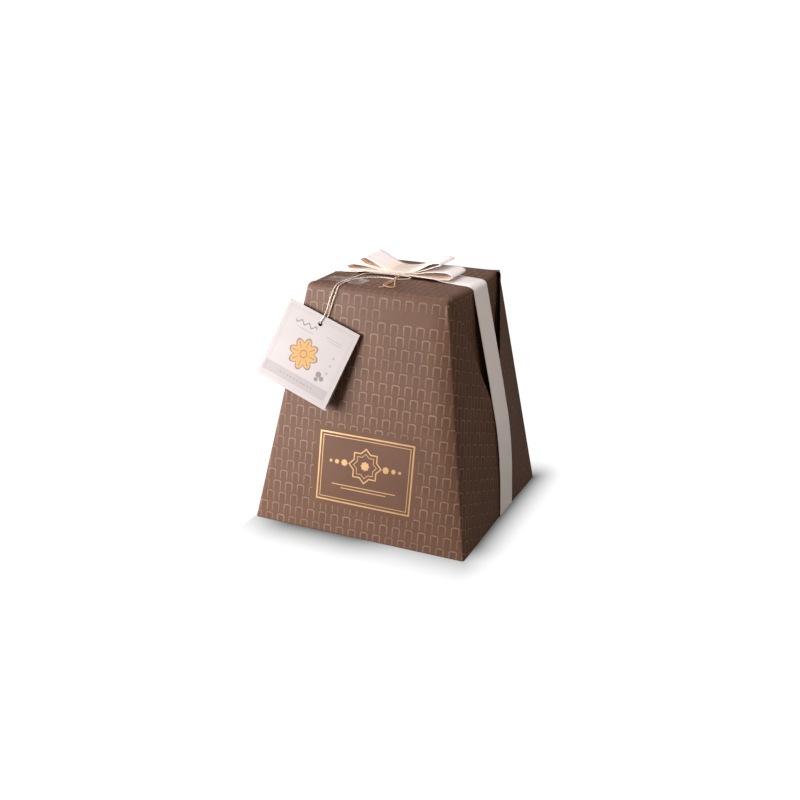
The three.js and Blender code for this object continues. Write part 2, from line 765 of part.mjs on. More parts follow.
const pack = new THREE.Group();
pack.add(piece("wrapped_box", wrappedBox(), 0x7c5c4c, 0.6));
pack.add(piece("ribbon_band", ribbonBand(), 0xe9e2da, 0.4));
pack.add(piece("ribbon_bow", bow(), 0xeee4de, 0.4));
pack.add(piece("twine", twine(), 0xe0c9a8, 0.8));
pack.add(piece("tape", tape(), 0xe6e6e6, 0.2, { transparent: true, opacity: 0.35 }));

const tag = piece("tag_card", card(), 0xf4ecea, 0.55);
tag.applyMatrix4(cardFrame());
pack.add(tag);

export default pack;
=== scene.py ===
"""A gift pack: a tapered box wrapped in printed paper, with ribbon, bow, twine, tape and a card.

Shapes are worked out in millimetres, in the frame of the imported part, and stored in metres.
"""
import math
from collections import namedtuple
from functools import reduce

import bpy
import numpy as np
from bpy.props import FloatProperty, FloatVectorProperty, PointerProperty
from mathutils import Matrix, Vector, noise

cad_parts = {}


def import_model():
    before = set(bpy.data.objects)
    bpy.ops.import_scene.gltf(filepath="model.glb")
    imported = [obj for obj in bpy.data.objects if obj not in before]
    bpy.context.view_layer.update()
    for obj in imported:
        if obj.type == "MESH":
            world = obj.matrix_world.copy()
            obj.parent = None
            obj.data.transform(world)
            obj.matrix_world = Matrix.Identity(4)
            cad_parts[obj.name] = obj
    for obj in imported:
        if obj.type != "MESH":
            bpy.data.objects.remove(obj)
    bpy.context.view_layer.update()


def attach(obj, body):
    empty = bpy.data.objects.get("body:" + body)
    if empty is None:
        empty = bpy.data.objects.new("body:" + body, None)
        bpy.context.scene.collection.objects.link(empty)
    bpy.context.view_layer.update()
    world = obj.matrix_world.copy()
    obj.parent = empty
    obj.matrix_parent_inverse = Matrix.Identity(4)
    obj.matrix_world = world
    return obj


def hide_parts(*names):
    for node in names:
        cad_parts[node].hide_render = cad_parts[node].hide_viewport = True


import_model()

bl_info = {
    "name": "Gift pack",
    "version": (1, 0, 0),
    "blender": (4, 5, 0),
    "location": "3D View > Sidebar > Gift pack",
    "description": "Builds a wrapped, ribboned gift pack with a hanging card",
    "category": "Object",
}

MM = 0.001


# ---- Sizes and colours -------------------------------------------------------------

def length(name, description, default):
    return FloatProperty(name=name, description=description, default=default, unit="LENGTH")


def colour(name, description, default):
    return FloatVectorProperty(
        name=name, description=description, default=default, size=3, subtype="COLOR", min=0, max=1
    )


class PackSizes(bpy.types.PropertyGroup):
    base_side: length("Base side", "Side of the square base", 0.225)
    top_side: length("Top side", "Side of the square top before rounding", 0.1455)
    height: length("Height", "Height of the top face's edges", 0.2392)
    ribbon_width: length("Ribbon width", "Width of the ribbon", 0.038)
    ribbon_thickness: length("Ribbon thickness", "Thickness of the ribbon", 0.0004)
    twine_diameter: length("Twine diameter", "Diameter of the twisted twine", 0.0012)
    card_side: length("Card side", "Side of the square card", 0.08)
    arch_pitch: length("Arch pitch", "From one printed arch to the next in a row", 0.0132)
    row_pitch: length("Row pitch", "From one row of arches to the next", 0.0114)


class PackColours(bpy.types.PropertyGroup):
    paper: colour("Paper", "Ground of the wrapping paper", (0.112, 0.054, 0.033))
    paper_print: colour("Print", "Lines of the arches", (0.235, 0.15, 0.108))
    gold: colour("Gold", "Frame and ornament of the panel", (0.56, 0.34, 0.17))
    ribbon: colour("Ribbon", "The ribbon's face", (0.92, 0.84, 0.825))
    # partly painted light: the ribbon's other side is warmer, and this colour also stands in for
    # the warm light glowing inside the loops
    ribbon_back_and_glow: colour("Ribbon back", "The ribbon's other side, in the loops", (0.97, 0.77, 0.63))
    twine_light: colour("Twine, light", "Light thread of the twine", (0.94, 0.86, 0.79))
    twine_dark: colour("Twine, dark", "Brown thread of the twine", (0.7, 0.53, 0.4))
    twine_gold: colour("Twine, gold", "The knot and its ends", (0.64, 0.38, 0.21))
    card: colour("Card", "The card's board", (0.355, 0.316, 0.316))
    card_band: colour("Card band", "Band across the card's foot", (0.275, 0.241, 0.246))
    rosette: colour("Rosette", "The card's printed rosette", (0.42, 0.2, 0.035))
    rosette_line: colour("Rosette lines", "Outline and veins of the rosette", (0.11, 0.06, 0.055))
    ink_pale: colour("Pale ink", "Thin rules and small stars on the card", (0.17, 0.15, 0.15))
    ink: colour("Ink", "Lines and dots on the card", (0.09, 0.065, 0.06))


def mm(value):
    """A size in millimetres, from a property in metres."""
    return value / MM


# ---- Arithmetic --------------------------------------------------------------------

def smooth(t):
    """Eases a share from 0 to 1."""
    t = min(1.0, max(0.0, t))
    return t * t * (3 - 2 * t)


def lerp(a, b, t):
    return a + (b - a) * t


def noise_at(*place):
    """Smooth noise from about -1 to 1, the same at each run."""
    return noise.noise(Vector(place))


def catmull(points, per_span):
    """A smooth line through points, with as many steps in each span."""
    points = [Vector(p) for p in points]
    line = []
    for i in range(len(points) - 1):
        p1, p2 = points[i], points[i + 1]
        p0 = points[i - 1] if i else 2 * p1 - p2
        p3 = points[i + 2] if i + 2 < len(points) else 2 * p2 - p1
        knots = [0.0]
        for a, b in ((p0, p1), (p1, p2), (p2, p3)):
            knots.append(knots[-1] + max(1e-6, (b - a).length) ** 0.5)
        t0, t1, t2, t3 = knots
        for step in range(per_span):
            t = lerp(t1, t2, step / per_span)
            a1 = p0.lerp(p1, (t - t0) / (t1 - t0))
            a2 = p1.lerp(p2, (t - t1) / (t2 - t1))
            a3 = p2.lerp(p3, (t - t2) / (t3 - t2))
            b1 = a1.lerp(a2, (t - t0) / (t2 - t0))
            b2 = a2.lerp(a3, (t - t1) / (t3 - t1))
            line.append(b1.lerp(b2, (t - t1) / (t2 - t1)))
    line.append(points[-1])
    return line


def evenly_spaced(line, step):
    """Points along a line, a step apart."""
    at = np.array([tuple(p) for p in line])
    run = np.concatenate(([0], np.cumsum(np.linalg.norm(np.diff(at, axis=0), axis=1))))
    count = max(2, round(run[-1] / step) + 1)
    places = np.linspace(0, run[-1], count)
    return [Vector([np.interp(s, run, at[:, k]) for k in range(3)]) for s in places]


# ---- Meshes ------------------------------------------------------------------------

def mesh_object(name, points, faces, materials, material_of=None):
    """A smooth-shaded object from points in millimetres."""
    mesh = bpy.data.meshes.new(name)
    mesh.from_pydata([(p[0] * MM, p[1] * MM, p[2] * MM) for p in points], [], faces)
    for material in materials:
        mesh.materials.append(material)
    if material_of is not None:
        mesh.polygons.foreach_set("material_index", material_of)
    mesh.shade_smooth()
    mesh.validate()
    piece = bpy.data.objects.new(name, mesh)
    bpy.context.scene.collection.objects.link(piece)
    return piece


def keep_vectors(piece, name, values, domain="POINT"):
    """Stores a vector for each point or face corner, for the materials to read."""
    attribute = piece.data.attributes.new(name, "FLOAT_VECTOR", domain)
    attribute.data.foreach_set("vector", np.array(values, np.float32).ravel())


def skin(count, n, closed_rows=False):
    """Quads between so many rings of n points. Closed rows join the last ring to the first."""
    faces = []
    for i in range(count if closed_rows else count - 1):
        low = i * n
        high = (i + 1) % count * n
        for j in range(n):
            k = (j + 1) % n
            faces.append((low + j, low + k, high + k, high + j))
    return faces


def strip_faces(rings):
    """Faces of a flat strip whose rings go across its one face and back across the other."""
    n = len(rings[0])
    faces = skin(len(rings), n)
    for start, turned in ((0, True), ((len(rings) - 1) * n, False)):
        for j in range(n // 2 - 1):
            quad = (start + j, start + j + 1, start + n - 2 - j, start + n - 1 - j)
            faces.append(quad[::-1] if turned else quad)
    return faces


def flat_list(rings):
    return [p for ring in rings for p in ring]


def place(piece, node, slot):
    """Puts a piece in a CAD node's place."""
    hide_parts(node)
    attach(piece, "root")


# ---- Material building -------------------------------------------------------------

class Field:
    """A number, vector or colour that varies over a surface. Arithmetic on it adds Math nodes."""

    def __init__(self, make, socket):
        self.make = make
        self.socket = socket

    def __add__(self, other):
        return self.make.math("ADD", self, other)

    def __sub__(self, other):
        return self.make.math("SUBTRACT", self, other)

    def __rsub__(self, other):
        return self.make.math("SUBTRACT", other, self)

    def __mul__(self, other):
        return self.make.math("MULTIPLY", self, other)

    def __truediv__(self, other):
        return self.make.math("DIVIDE", self, other)

    def __pow__(self, other):
        return self.make.math("POWER", self, other)

    def __mod__(self, other):
        return self.make.math("MODULO", self, other)

    def __abs__(self):
        return self.make.math("ABSOLUTE", self)

    __radd__ = __add__

    def ramp(self, low, high, to_low=0.0, to_high=1.0):
        """Maps the value smoothly from one range to another."""
        ends = {"From Min": low, "From Max": high, "To Min": to_low, "To Max": to_high}
        return self.make.field(
            "ShaderNodeMapRange", {"Value": self, **ends}, "Result", interpolation_type="SMOOTHSTEP"
        )

    def bump(self, strength, distance):
        """The normal of a surface with this height on it."""
        inputs = {"Height": self, "Strength": strength, "Distance": distance}
        return self.make.field("ShaderNodeBump", inputs, "Normal")


class Tree:
    """Adds nodes to a node tree and links them as they are made."""

    def __init__(self, tree):
        self.tree = tree
        self.nodes = tree.nodes

    def feed(self, socket, value):
        """Links a field into a socket, or sets the socket's own value."""
        if isinstance(value, Field):
            self.tree.links.new(value.socket, socket)
        elif value is not None:
            socket.default_value = value

    def add(self, kind, inputs=None, **settings):
        node = self.nodes.new(kind)
        for name, value in settings.items():
            setattr(node, name, value)
        for name, value in (inputs or {}).items():
            self.feed(node.inputs[name], value)
        return node

    def field(self, kind, inputs=None, output=0, **settings):
        """A new node's output, by name or number."""
        return Field(self, self.add(kind, inputs, **settings).outputs[output])

    def math(self, operation, *values):
        return self.field("ShaderNodeMath", dict(enumerate(values)), operation=operation)

    def most(self, *values):
        return reduce(lambda a, b: self.math("MAXIMUM", a, b), values)

    def least(self, *values):
        return reduce(lambda a, b: self.math("MINIMUM", a, b), values)

    def length_of(self, x, y):
        return self.math("SQRT", x * x + y * y)

    def split(self, vector):
        outputs = self.add("ShaderNodeSeparateXYZ", {"Vector": vector}).outputs
        return [Field(self, socket) for socket in outputs]

    def joined(self, x, y):
        return self.field("ShaderNodeCombineXYZ", {"X": x, "Y": y, "Z": 0.0})

    def moved(self, place, x, y):
        """A place as seen from the point x, y."""
        return self.field("ShaderNodeVectorMath", {0: place, 1: (x, y, 0.0)}, operation="SUBTRACT")

    def scaled(self, vector, scale):
        """A vector times a number, or a colour made lighter or darker by a tone round 1."""
        return self.field("ShaderNodeVectorMath", {0: vector, "Scale": scale}, operation="SCALE")

    def attribute(self, name):
        return self.field("ShaderNodeAttribute", None, "Vector", attribute_name=name)

    def here(self):
        """The place on the piece itself, in metres."""
        return self.field("ShaderNodeTexCoord", None, "Object")

    def camera_ray(self):
        return self.field("ShaderNodeLightPath", None, "Is Camera Ray")

    def noise(self, vector, scale, detail=3.0, roughness=0.5):
        inputs = {"Vector": vector, "Scale": scale, "Detail": detail, "Roughness": roughness}
        return self.field("ShaderNodeTexNoise", inputs, "Fac")

    def mix(self, factor, under, over):
        """One colour over another."""
        node = self.add("ShaderNodeMix", data_type="RGBA")
        for name, value in (("Factor", factor), ("A", rgba(under)), ("B", rgba(over))):
            self.feed(node.inputs[name], value)
        return Field(self, node.outputs["Result"])

    def group(self, tree, **inputs):
        """A shared group's outputs by name, from inputs whose names have _ for a space."""
        node = self.add("ShaderNodeGroup", node_tree=tree)
        for name, value in inputs.items():
            self.feed(node.inputs[name.replace("_", " ").capitalize()], value)
        return {socket.name: Field(self, socket) for socket in node.outputs}


def rgba(value):
    """A colour property as the four numbers that a colour socket takes."""
    return value if isinstance(value, Field) else (*value, 1.0)


def darker(colour_of, share):
    return [c * share for c in colour_of]


def shader(name, **constants):
    """A material, its Tree, and a function that feeds the sockets of its Principled shader."""
    material = bpy.data.materials.new(name)
    material.use_nodes = True
    make = Tree(material.node_tree)
    sockets = make.nodes["Principled BSDF"].inputs

    def finish(**values):
        for socket_name, value in values.items():
            make.feed(sockets[socket_name.replace("_", " ")], value)

    finish(**constants)
    return material, make, finish


# ---- Shared node groups ------------------------------------------------------------

FLOAT = "NodeSocketFloat"
VECTOR = "NodeSocketVector"
LINE_SOFT = 0.12  # how soft a printed line's edges are, in millimetres


def group_tree(name, inputs, outputs):
    """A new shader node group: its Tree, its inputs, and a function that feeds its outputs."""
    tree = bpy.data.node_groups.new(name, "ShaderNodeTree")
    for socket_name, kind, default in inputs:
        socket = tree.interface.new_socket(socket_name, in_out="INPUT", socket_type=kind)
        if default is not None:
            socket.default_value = default
    for socket_name in outputs:
        tree.interface.new_socket(socket_name, in_out="OUTPUT", socket_type=FLOAT)
    make = Tree(tree)
    entry = make.add("NodeGroupInput").outputs
    leave = make.add("NodeGroupOutput").inputs

    def put_out(**values):
        for socket_name, value in values.items():
            make.feed(leave[socket_name.capitalize()], value)

    return make, {name: Field(make, entry[name]) for name, *_ in inputs}, put_out


def frame_line_group():
    """A rectangular frame, from a place and its half sides: masks of its line and of its inside."""
    inputs = [
        ("Place", VECTOR, None),
        ("Half width", FLOAT, 10.0),
        ("Half height", FLOAT, 10.0),
        ("Line", FLOAT, 1.0),
        ("Soft", FLOAT, LINE_SOFT),
    ]
    make, entry, put_out = group_tree("Frame line", inputs, ["Mask", "Inside"])
    x, y, _ = make.split(entry["Place"])
    reach = make.most(abs(x) - entry["Half width"], abs(y) - entry["Half height"])
    off_line = abs(reach) - entry["Line"] * 0.5
    put_out(
        mask=(off_line / entry["Soft"]).ramp(1.0, -1.0),
        inside=(reach / entry["Soft"]).ramp(1.0, -1.0),
    )
    return make.tree


def star_group():
    """An eight-pointed star of two squares: a mask of its outline and one of its inside."""
    inputs = [("Place", VECTOR, None), ("Half side", FLOAT, 5.0), ("Line", FLOAT, 0.8)]
    make, entry, put_out = group_tree("Star", inputs, ["Outline", "Inside"])
    x, y, _ = make.split(entry["Place"])
    x, y = abs(x), abs(y)
    turned = (x + y) * math.sqrt(0.5)
    reach = make.least(make.most(x, y), turned) - entry["Half side"]
    off_line = abs(reach) - entry["Line"] * 0.5
    put_out(
        outline=off_line.ramp(LINE_SOFT, -LINE_SOFT),
        inside=reach.ramp(LINE_SOFT, -LINE_SOFT),
    )
    return make.tree


def grain_group():
    """Fibres in paper, board or thread: a height, and a tone that varies a little round 1."""
    inputs = [("Scale", FLOAT, 1.0), ("Tone", FLOAT, 0.06)]
    make, entry, put_out = group_tree("Fibre grain", inputs, ["Height", "Tone"])
    place_in = make.scaled(make.here(), entry["Scale"])
    fine = make.noise(place_in, 1600.0, 3.0, 0.6)
    stretched = make.field("ShaderNodeMapping", {"Vector": place_in, "Scale": (0.25, 1.0, 1.0)})
    fibres = make.noise(stretched, 2600.0, 2.0)
    cloud = make.noise(place_in, 45.0, 3.0)
    blend = fine * 0.5 + cloud * 0.5
    tone = blend.ramp(0.35, 0.65, 1.0 - entry["Tone"], 1.0 + entry["Tone"])
    put_out(height=fine + fibres * 0.6, tone=tone)
    return make.tree


def weave_group():
    """Satin ribbon, from a place along and across it: its threads' height and tone, its edges."""
    inputs = [("Place", VECTOR, None), ("Half width", FLOAT, 19.0), ("Thread", FLOAT, 0.32)]
    make, entry, put_out = group_tree("Ribbon weave", inputs, ["Height", "Tone", "Selvedge"])
    along, across, _ = make.split(entry["Place"])
    warp = make.math("SINE", across / entry["Thread"] * (2 * math.pi))
    weft = make.math("SINE", along / entry["Thread"] * (1.4 * math.pi))
    streaks = make.noise(make.joined(along * 0.03, across), 1.6, 3.0, 0.6)
    selvedge = (entry["Half width"] - abs(across)).ramp(1.3, 0.9)
    put_out(
        height=warp * 0.65 + weft * 0.35 + selvedge * 1.5,
        tone=streaks.ramp(0.3, 0.7, 0.95, 1.03),
        selvedge=selvedge,
    )
    return make.tree


GROUP_MAKERS = {
    "Frame line": frame_line_group,
    "Star": star_group,
    "Fibre grain": grain_group,
    "Ribbon weave": weave_group,
}


def shared(name):
    """A shared node group, built the first time that a material asks for it."""
    return bpy.data.node_groups.get(name) or GROUP_MAKERS[name]()


def fibre_grain(make, scale, tone):
    return make.group(shared("Fibre grain"), scale=scale, tone=tone)


class Artwork:
    """Draws frames, rules and stars round the middle of a printed area."""

    def __init__(self, make, middle):
        self.make = make
        self.middle = middle

    def at(self, x, y):
        return self.make.moved(self.middle, x, y)

    def rectangle(self, x, y, half_width, half_height, line=0.0, soft=LINE_SOFT):
        """A rectangle's masks. A thin one is a rule."""
        sides = {"half_width": half_width, "half_height": half_height}
        group = shared("Frame line")
        return self.make.group(group, place=self.at(x, y), line=line, soft=soft, **sides)

    def outline(self, half_width, half_height, line):
        return self.rectangle(0.0, 0.0, half_width, half_height, line)["Mask"]

    def filled(self, *rectangle):
        return self.rectangle(*rectangle)["Inside"]

    def star(self, x, y, half_side, line=0.0):
        """A filled star, or its outline where a line is given."""
        group = shared("Star")
        masks = self.make.group(group, place=self.at(x, y), half_side=half_side, line=line)
        return masks["Outline" if line else "Inside"]


# ---- The wrapping paper ------------------------------------------------------------

ARCH_HALF = 3.6  # middle of the arch's line, from its axis
ARCH_TOP = 4.4
ARCH_FOOT = -4.8
ARCH_ROUND = 1.2
ARCH_LINE = 1.25
PRINT_AT = (1.6, -2.24)  # where the print's first arch starts
PANEL_AT = (3.3, 67.25)  # the middle of the front panel, across and up the sheet
PANEL_SIDES = (49.2, 33.8)  # half of its width and height
PANEL_FRAMES = ((0.0, 1.5), (3.1, 0.7))  # its frame's two lines: how far in, line
PANEL_STARS_Y = 6.0  # its stars stand this far above its middle
PANEL_MIDDLE = ((3.4,), (12.0, 1.2), (8.6, 0.6))  # half side, and line where it is an outline
PANEL_STARS = ((22.0, 2.6), (30.0, 1.8), (36.5, 1.2))  # on both sides: across, half side
PANEL_RULES = ((-16.5, 34.0), (-19.5, 24.0))  # up, half width
PANEL_RULE = 0.45
PANEL_CLEAR = 5.5  # bare paper round the panel
PATCH = (35.5, 220.0, 28.5, 5.5)  # a bare patch near the top edge: across, up, half sides
CLEAR_SOFT = 0.4
EDGE_MIDDLE = 3.0  # past the top edge's start, the middle of a band with fainter arches
EDGE_BAND = (4.0, 3.4, 0.0, 0.6)  # where it ends, where it is at its faintest, and how faint
UNDER_BOW = 0.7  # how dark the painted shade is on the paper beside the lifted ribbon
SHADE_TO_FRONT = (8.0, 0.0)  # that shade fades out from the ribbon's near edge to the front,
SHADE_TO_BACK = (-20.0, -12.0)  # under the ribbon,
SHADE_TO_LEFT = (-50.0, -38.0)  # and towards the bow's ends
SHADE_TO_RIGHT = (58.0, 44.0)
FAR_SHEET = 1320.0  # keeps the sheets' places apart, a whole number of pitches


def arch_masks(make, sheet, pitch, row):
    """The printed arches: a mask of their lines and one of their insides."""
    u, v, _ = make.split(make.moved(sheet, *PRINT_AT))
    row_number = make.math("FLOOR", v / row)
    shifted = u / pitch + abs(row_number) % 2.0 * 0.5
    x = (make.math("FRACT", shifted) - 0.5) * pitch
    y = (v / row - row_number - 0.5) * row
    from_side = abs(x) - (ARCH_HALF - ARCH_ROUND)
    from_top = y - (ARCH_TOP - ARCH_ROUND)
    outer = make.length_of(make.most(from_side, 0.0), make.most(from_top, 0.0))
    reach = outer + make.least(make.most(from_side, from_top), 0.0) - ARCH_ROUND
    above_foot = y.ramp(ARCH_FOOT - 0.15, ARCH_FOOT + 0.15)
    cell = make.joined(make.math("FLOOR", shifted), row_number)
    uneven = make.field("ShaderNodeTexWhiteNoise", {"Vector": cell}, "Value")
    fading = y.ramp(ARCH_FOOT, ARCH_TOP)
    strength = above_foot * uneven.ramp(0.0, 1.0, 0.6, 1.0) * (0.55 + fading * 0.45)
    line = (abs(reach) - ARCH_LINE / 2).ramp(0.3, -0.4) * strength
    inside = reach.ramp(0.0, -1.0) * above_foot * fading
    return line, inside


def panel_masks(make, sheet):
    """The front panel's gold, and the areas that stay bare of arches."""
    panel = Artwork(make, make.moved(sheet, *PANEL_AT))
    width, height = PANEL_SIDES
    gold = [panel.outline(width - inset, height - inset, line) for inset, line in PANEL_FRAMES]
    gold += [panel.star(0.0, PANEL_STARS_Y, *star) for star in PANEL_MIDDLE]
    for x, size in PANEL_STARS:
        gold += [panel.star(side * x, PANEL_STARS_Y, size) for side in (-1, 1)]
    gold += [panel.filled(0.0, y, half_width, PANEL_RULE) for y, half_width in PANEL_RULES]
    clear = (0.0, 0.0, width + PANEL_CLEAR, height + PANEL_CLEAR, 0.0, CLEAR_SOFT)
    patch = Artwork(make, sheet).filled(*PATCH, 0.0, CLEAR_SOFT)
    return make.most(*gold), make.most(panel.filled(*clear), patch)


def under_bow(make, sheet, box):
    """A mask of the painted shade on the top face beside the ribbon's near edge, where the lifted
    ribbon would shade it.
    """
    across, up_sheet, _ = make.split(sheet)
    top_middle = box.round_z / math.cos(box.lean) + box.round_travel + box.round_x
    tilt = (RIBBON_Y["top_right"] - RIBBON_Y["top_left"]) / box.top
    edge = (RIBBON_Y["top_right"] + RIBBON_Y["top_left"]) / 2 - box.ribbon_half
    from_edge = across * tilt + (top_middle + edge) - up_sheet
    near = from_edge.ramp(*SHADE_TO_FRONT) * from_edge.ramp(*SHADE_TO_BACK)
    return near * across.ramp(*SHADE_TO_LEFT) * across.ramp(*SHADE_TO_RIGHT)


def paper_material(colours, sizes):
    material, make, finish = shader("wrapping paper", Roughness=0.5, Specular_IOR_Level=0.22)
    box = Box(sizes)
    sheet = make.attribute("sheet")
    line, inside = arch_masks(make, sheet, mm(sizes.arch_pitch), mm(sizes.row_pitch))
    gold, bare = panel_masks(make, sheet)
    _, up_sheet, _ = make.split(sheet)
    from_band = abs(up_sheet - (box.round_z / math.cos(box.lean) + EDGE_MIDDLE))
    arches = 1.0 - make.most(bare, from_band.ramp(*EDGE_BAND))
    grain = fibre_grain(make, 1.0, 0.08)
    worn = make.noise(sheet, 0.35, 4.0, 0.7).ramp(0.3, 0.62, 0.5, 1.0)
    line = line * arches * worn
    ground = make.mix(inside * arches * 0.3, colours.paper, darker(colours.paper, 0.72))
    printed = make.mix(line, ground, colours.paper_print)
    # painted shade: the paper's colour is darkened in the folds' hollows and beside the lifted
    # ribbon
    painted_recess_shade, _, _ = make.split(make.attribute("painted_recess_shade"))
    lit = 1.0 - make.most(painted_recess_shade, under_bow(make, sheet, box) * UNDER_BOW) * 0.92
    mottle = make.noise(sheet, 0.9, 3.0, 0.7).ramp(0.3, 0.7, 0.9, 1.1)
    toned = make.scaled(printed, grain["Tone"] * lit * mottle)
    height = grain["Height"] * 0.5 + (line * 0.6 + gold * 1.2)
    finish(
        Base_Color=make.mix(gold, toned, colours.gold),
        Metallic=gold * 0.55,
        Roughness=grain["Height"].ramp(0.4, 1.2, 0.44, 0.54) - gold * 0.16,
        Normal=height.bump(0.35, 0.00006),
    )
    return material


# ---- The wrapped box ---------------------------------------------------------------

CROWN = 2.0
TOP_EDGE_R = 4.5
CORNER_R_TOP = 3.0
CORNER_R_BASE = 2.2
BASE_EDGE_R = 1.8
SOFT_DEPTH = 3.5  # the paper is loose and drawn in by this much at the front right corner,
SOFT_ALONG = 21.0  # this far along the front
SOFT_BESIDE = 12.0  # and this far along the side,
SOFT_SIDEWAYS = 0.4  # where it moves by this share
CRISP_REACH = 16.0  # the top's two back corners stay crisp this far along their edges
GAP = 0.3  # between pieces that touch
FOLD_START_IN = 5.0  # the folds start this far in from the top's corners
FOLD_TIP_Z = 99.5  # where a side's two folds meet
FOLD_TIP_Y = 3.0
FOLD_TIP_OUT = 8.2  # how far the folds stand off the side's plane there
FOLD_SWELL = 0.9  # below 1 they swell early on their way down
FOLD_TUCK = {-1: 1.2, 1: 2.5}  # how much more the front and back folds stand out at the top
LIP_R = 0.5  # rounding of a fold's free edge
LIP_HOLLOW = 4.0  # how far the hollow under that edge reaches
RECESS_DEPTH = 2.5  # a hollow this deep under a fold gets nearly the full painted shade
RECESS_REACH = 3.5  # and its painted shade darkens the flap this far beside it
SEAM_SLIT = 0.8
SEAM_DEPTH = 1.5
SEAM_Z = 80.0  # from here down the seam is only a slit
SEAM_BASE_Y = 10.0
SEAM_BASE_IN = 1.1
SEAM_CURVE = 2.2
FLAP_DENT = 1.5  # the flap between the folds lies this deep beside them
FLAP_BULGE = 2.5  # and swells by this much at the top face's edge
FLAP_BULGE_DROP = 55.0
GUSSET_CURVE = 1.2
LEAST_GUSSET = 0.5
RELIEF_POWER = 0.7  # how the folds' relief fades round the top edge
LAST_FOLD_BELOW = 4.0  # above this much under the top the folds' shape stays as it is there
RIBBON_Y = {"top_right": 2.5, "top_left": 5.0, "base_right": 14.0, "base_left": 8.0}
GROOVE_DEPTH = 1.1  # how much higher the base lies inside its rim and the rim over the ribbon
GROOVE_MARGIN = 1.5  # how much wider than the ribbon a gap is on each side
GROOVE_END = 8.0  # and how far it reaches in
BASE_SHARES = (0.02, 0.25, 0.5, 0.75, 0.97)  # the base's rings inside its rim
BASE_EDGE_STEPS = 4
WAVES = ((55, 60, 0.35), (17, 21, 0.12))  # the paper's waves and buckles: across, up, depth
WAVES_FROM_EDGE = 20.0  # they grow over this distance from the edges

GUSSET_STEPS = 20
LIP_STEPS = 5
FLAP_STEPS = 26
FACE_STEPS = 44
CORNER_STEPS = 7
WALL_STEP = 3.0
ROUND_STEPS = 9
CROWN_STEPS = 14

# A level of the skin. The folds are shaped as at profile_z, strength is how much of them is left,
# travel how far up the sheet the level lies, and angle its place in the top edge's rounding.
Ring = namedtuple(
    "Ring", "z profile_z half radius strength plain travel region angle", defaults=(None,)
)


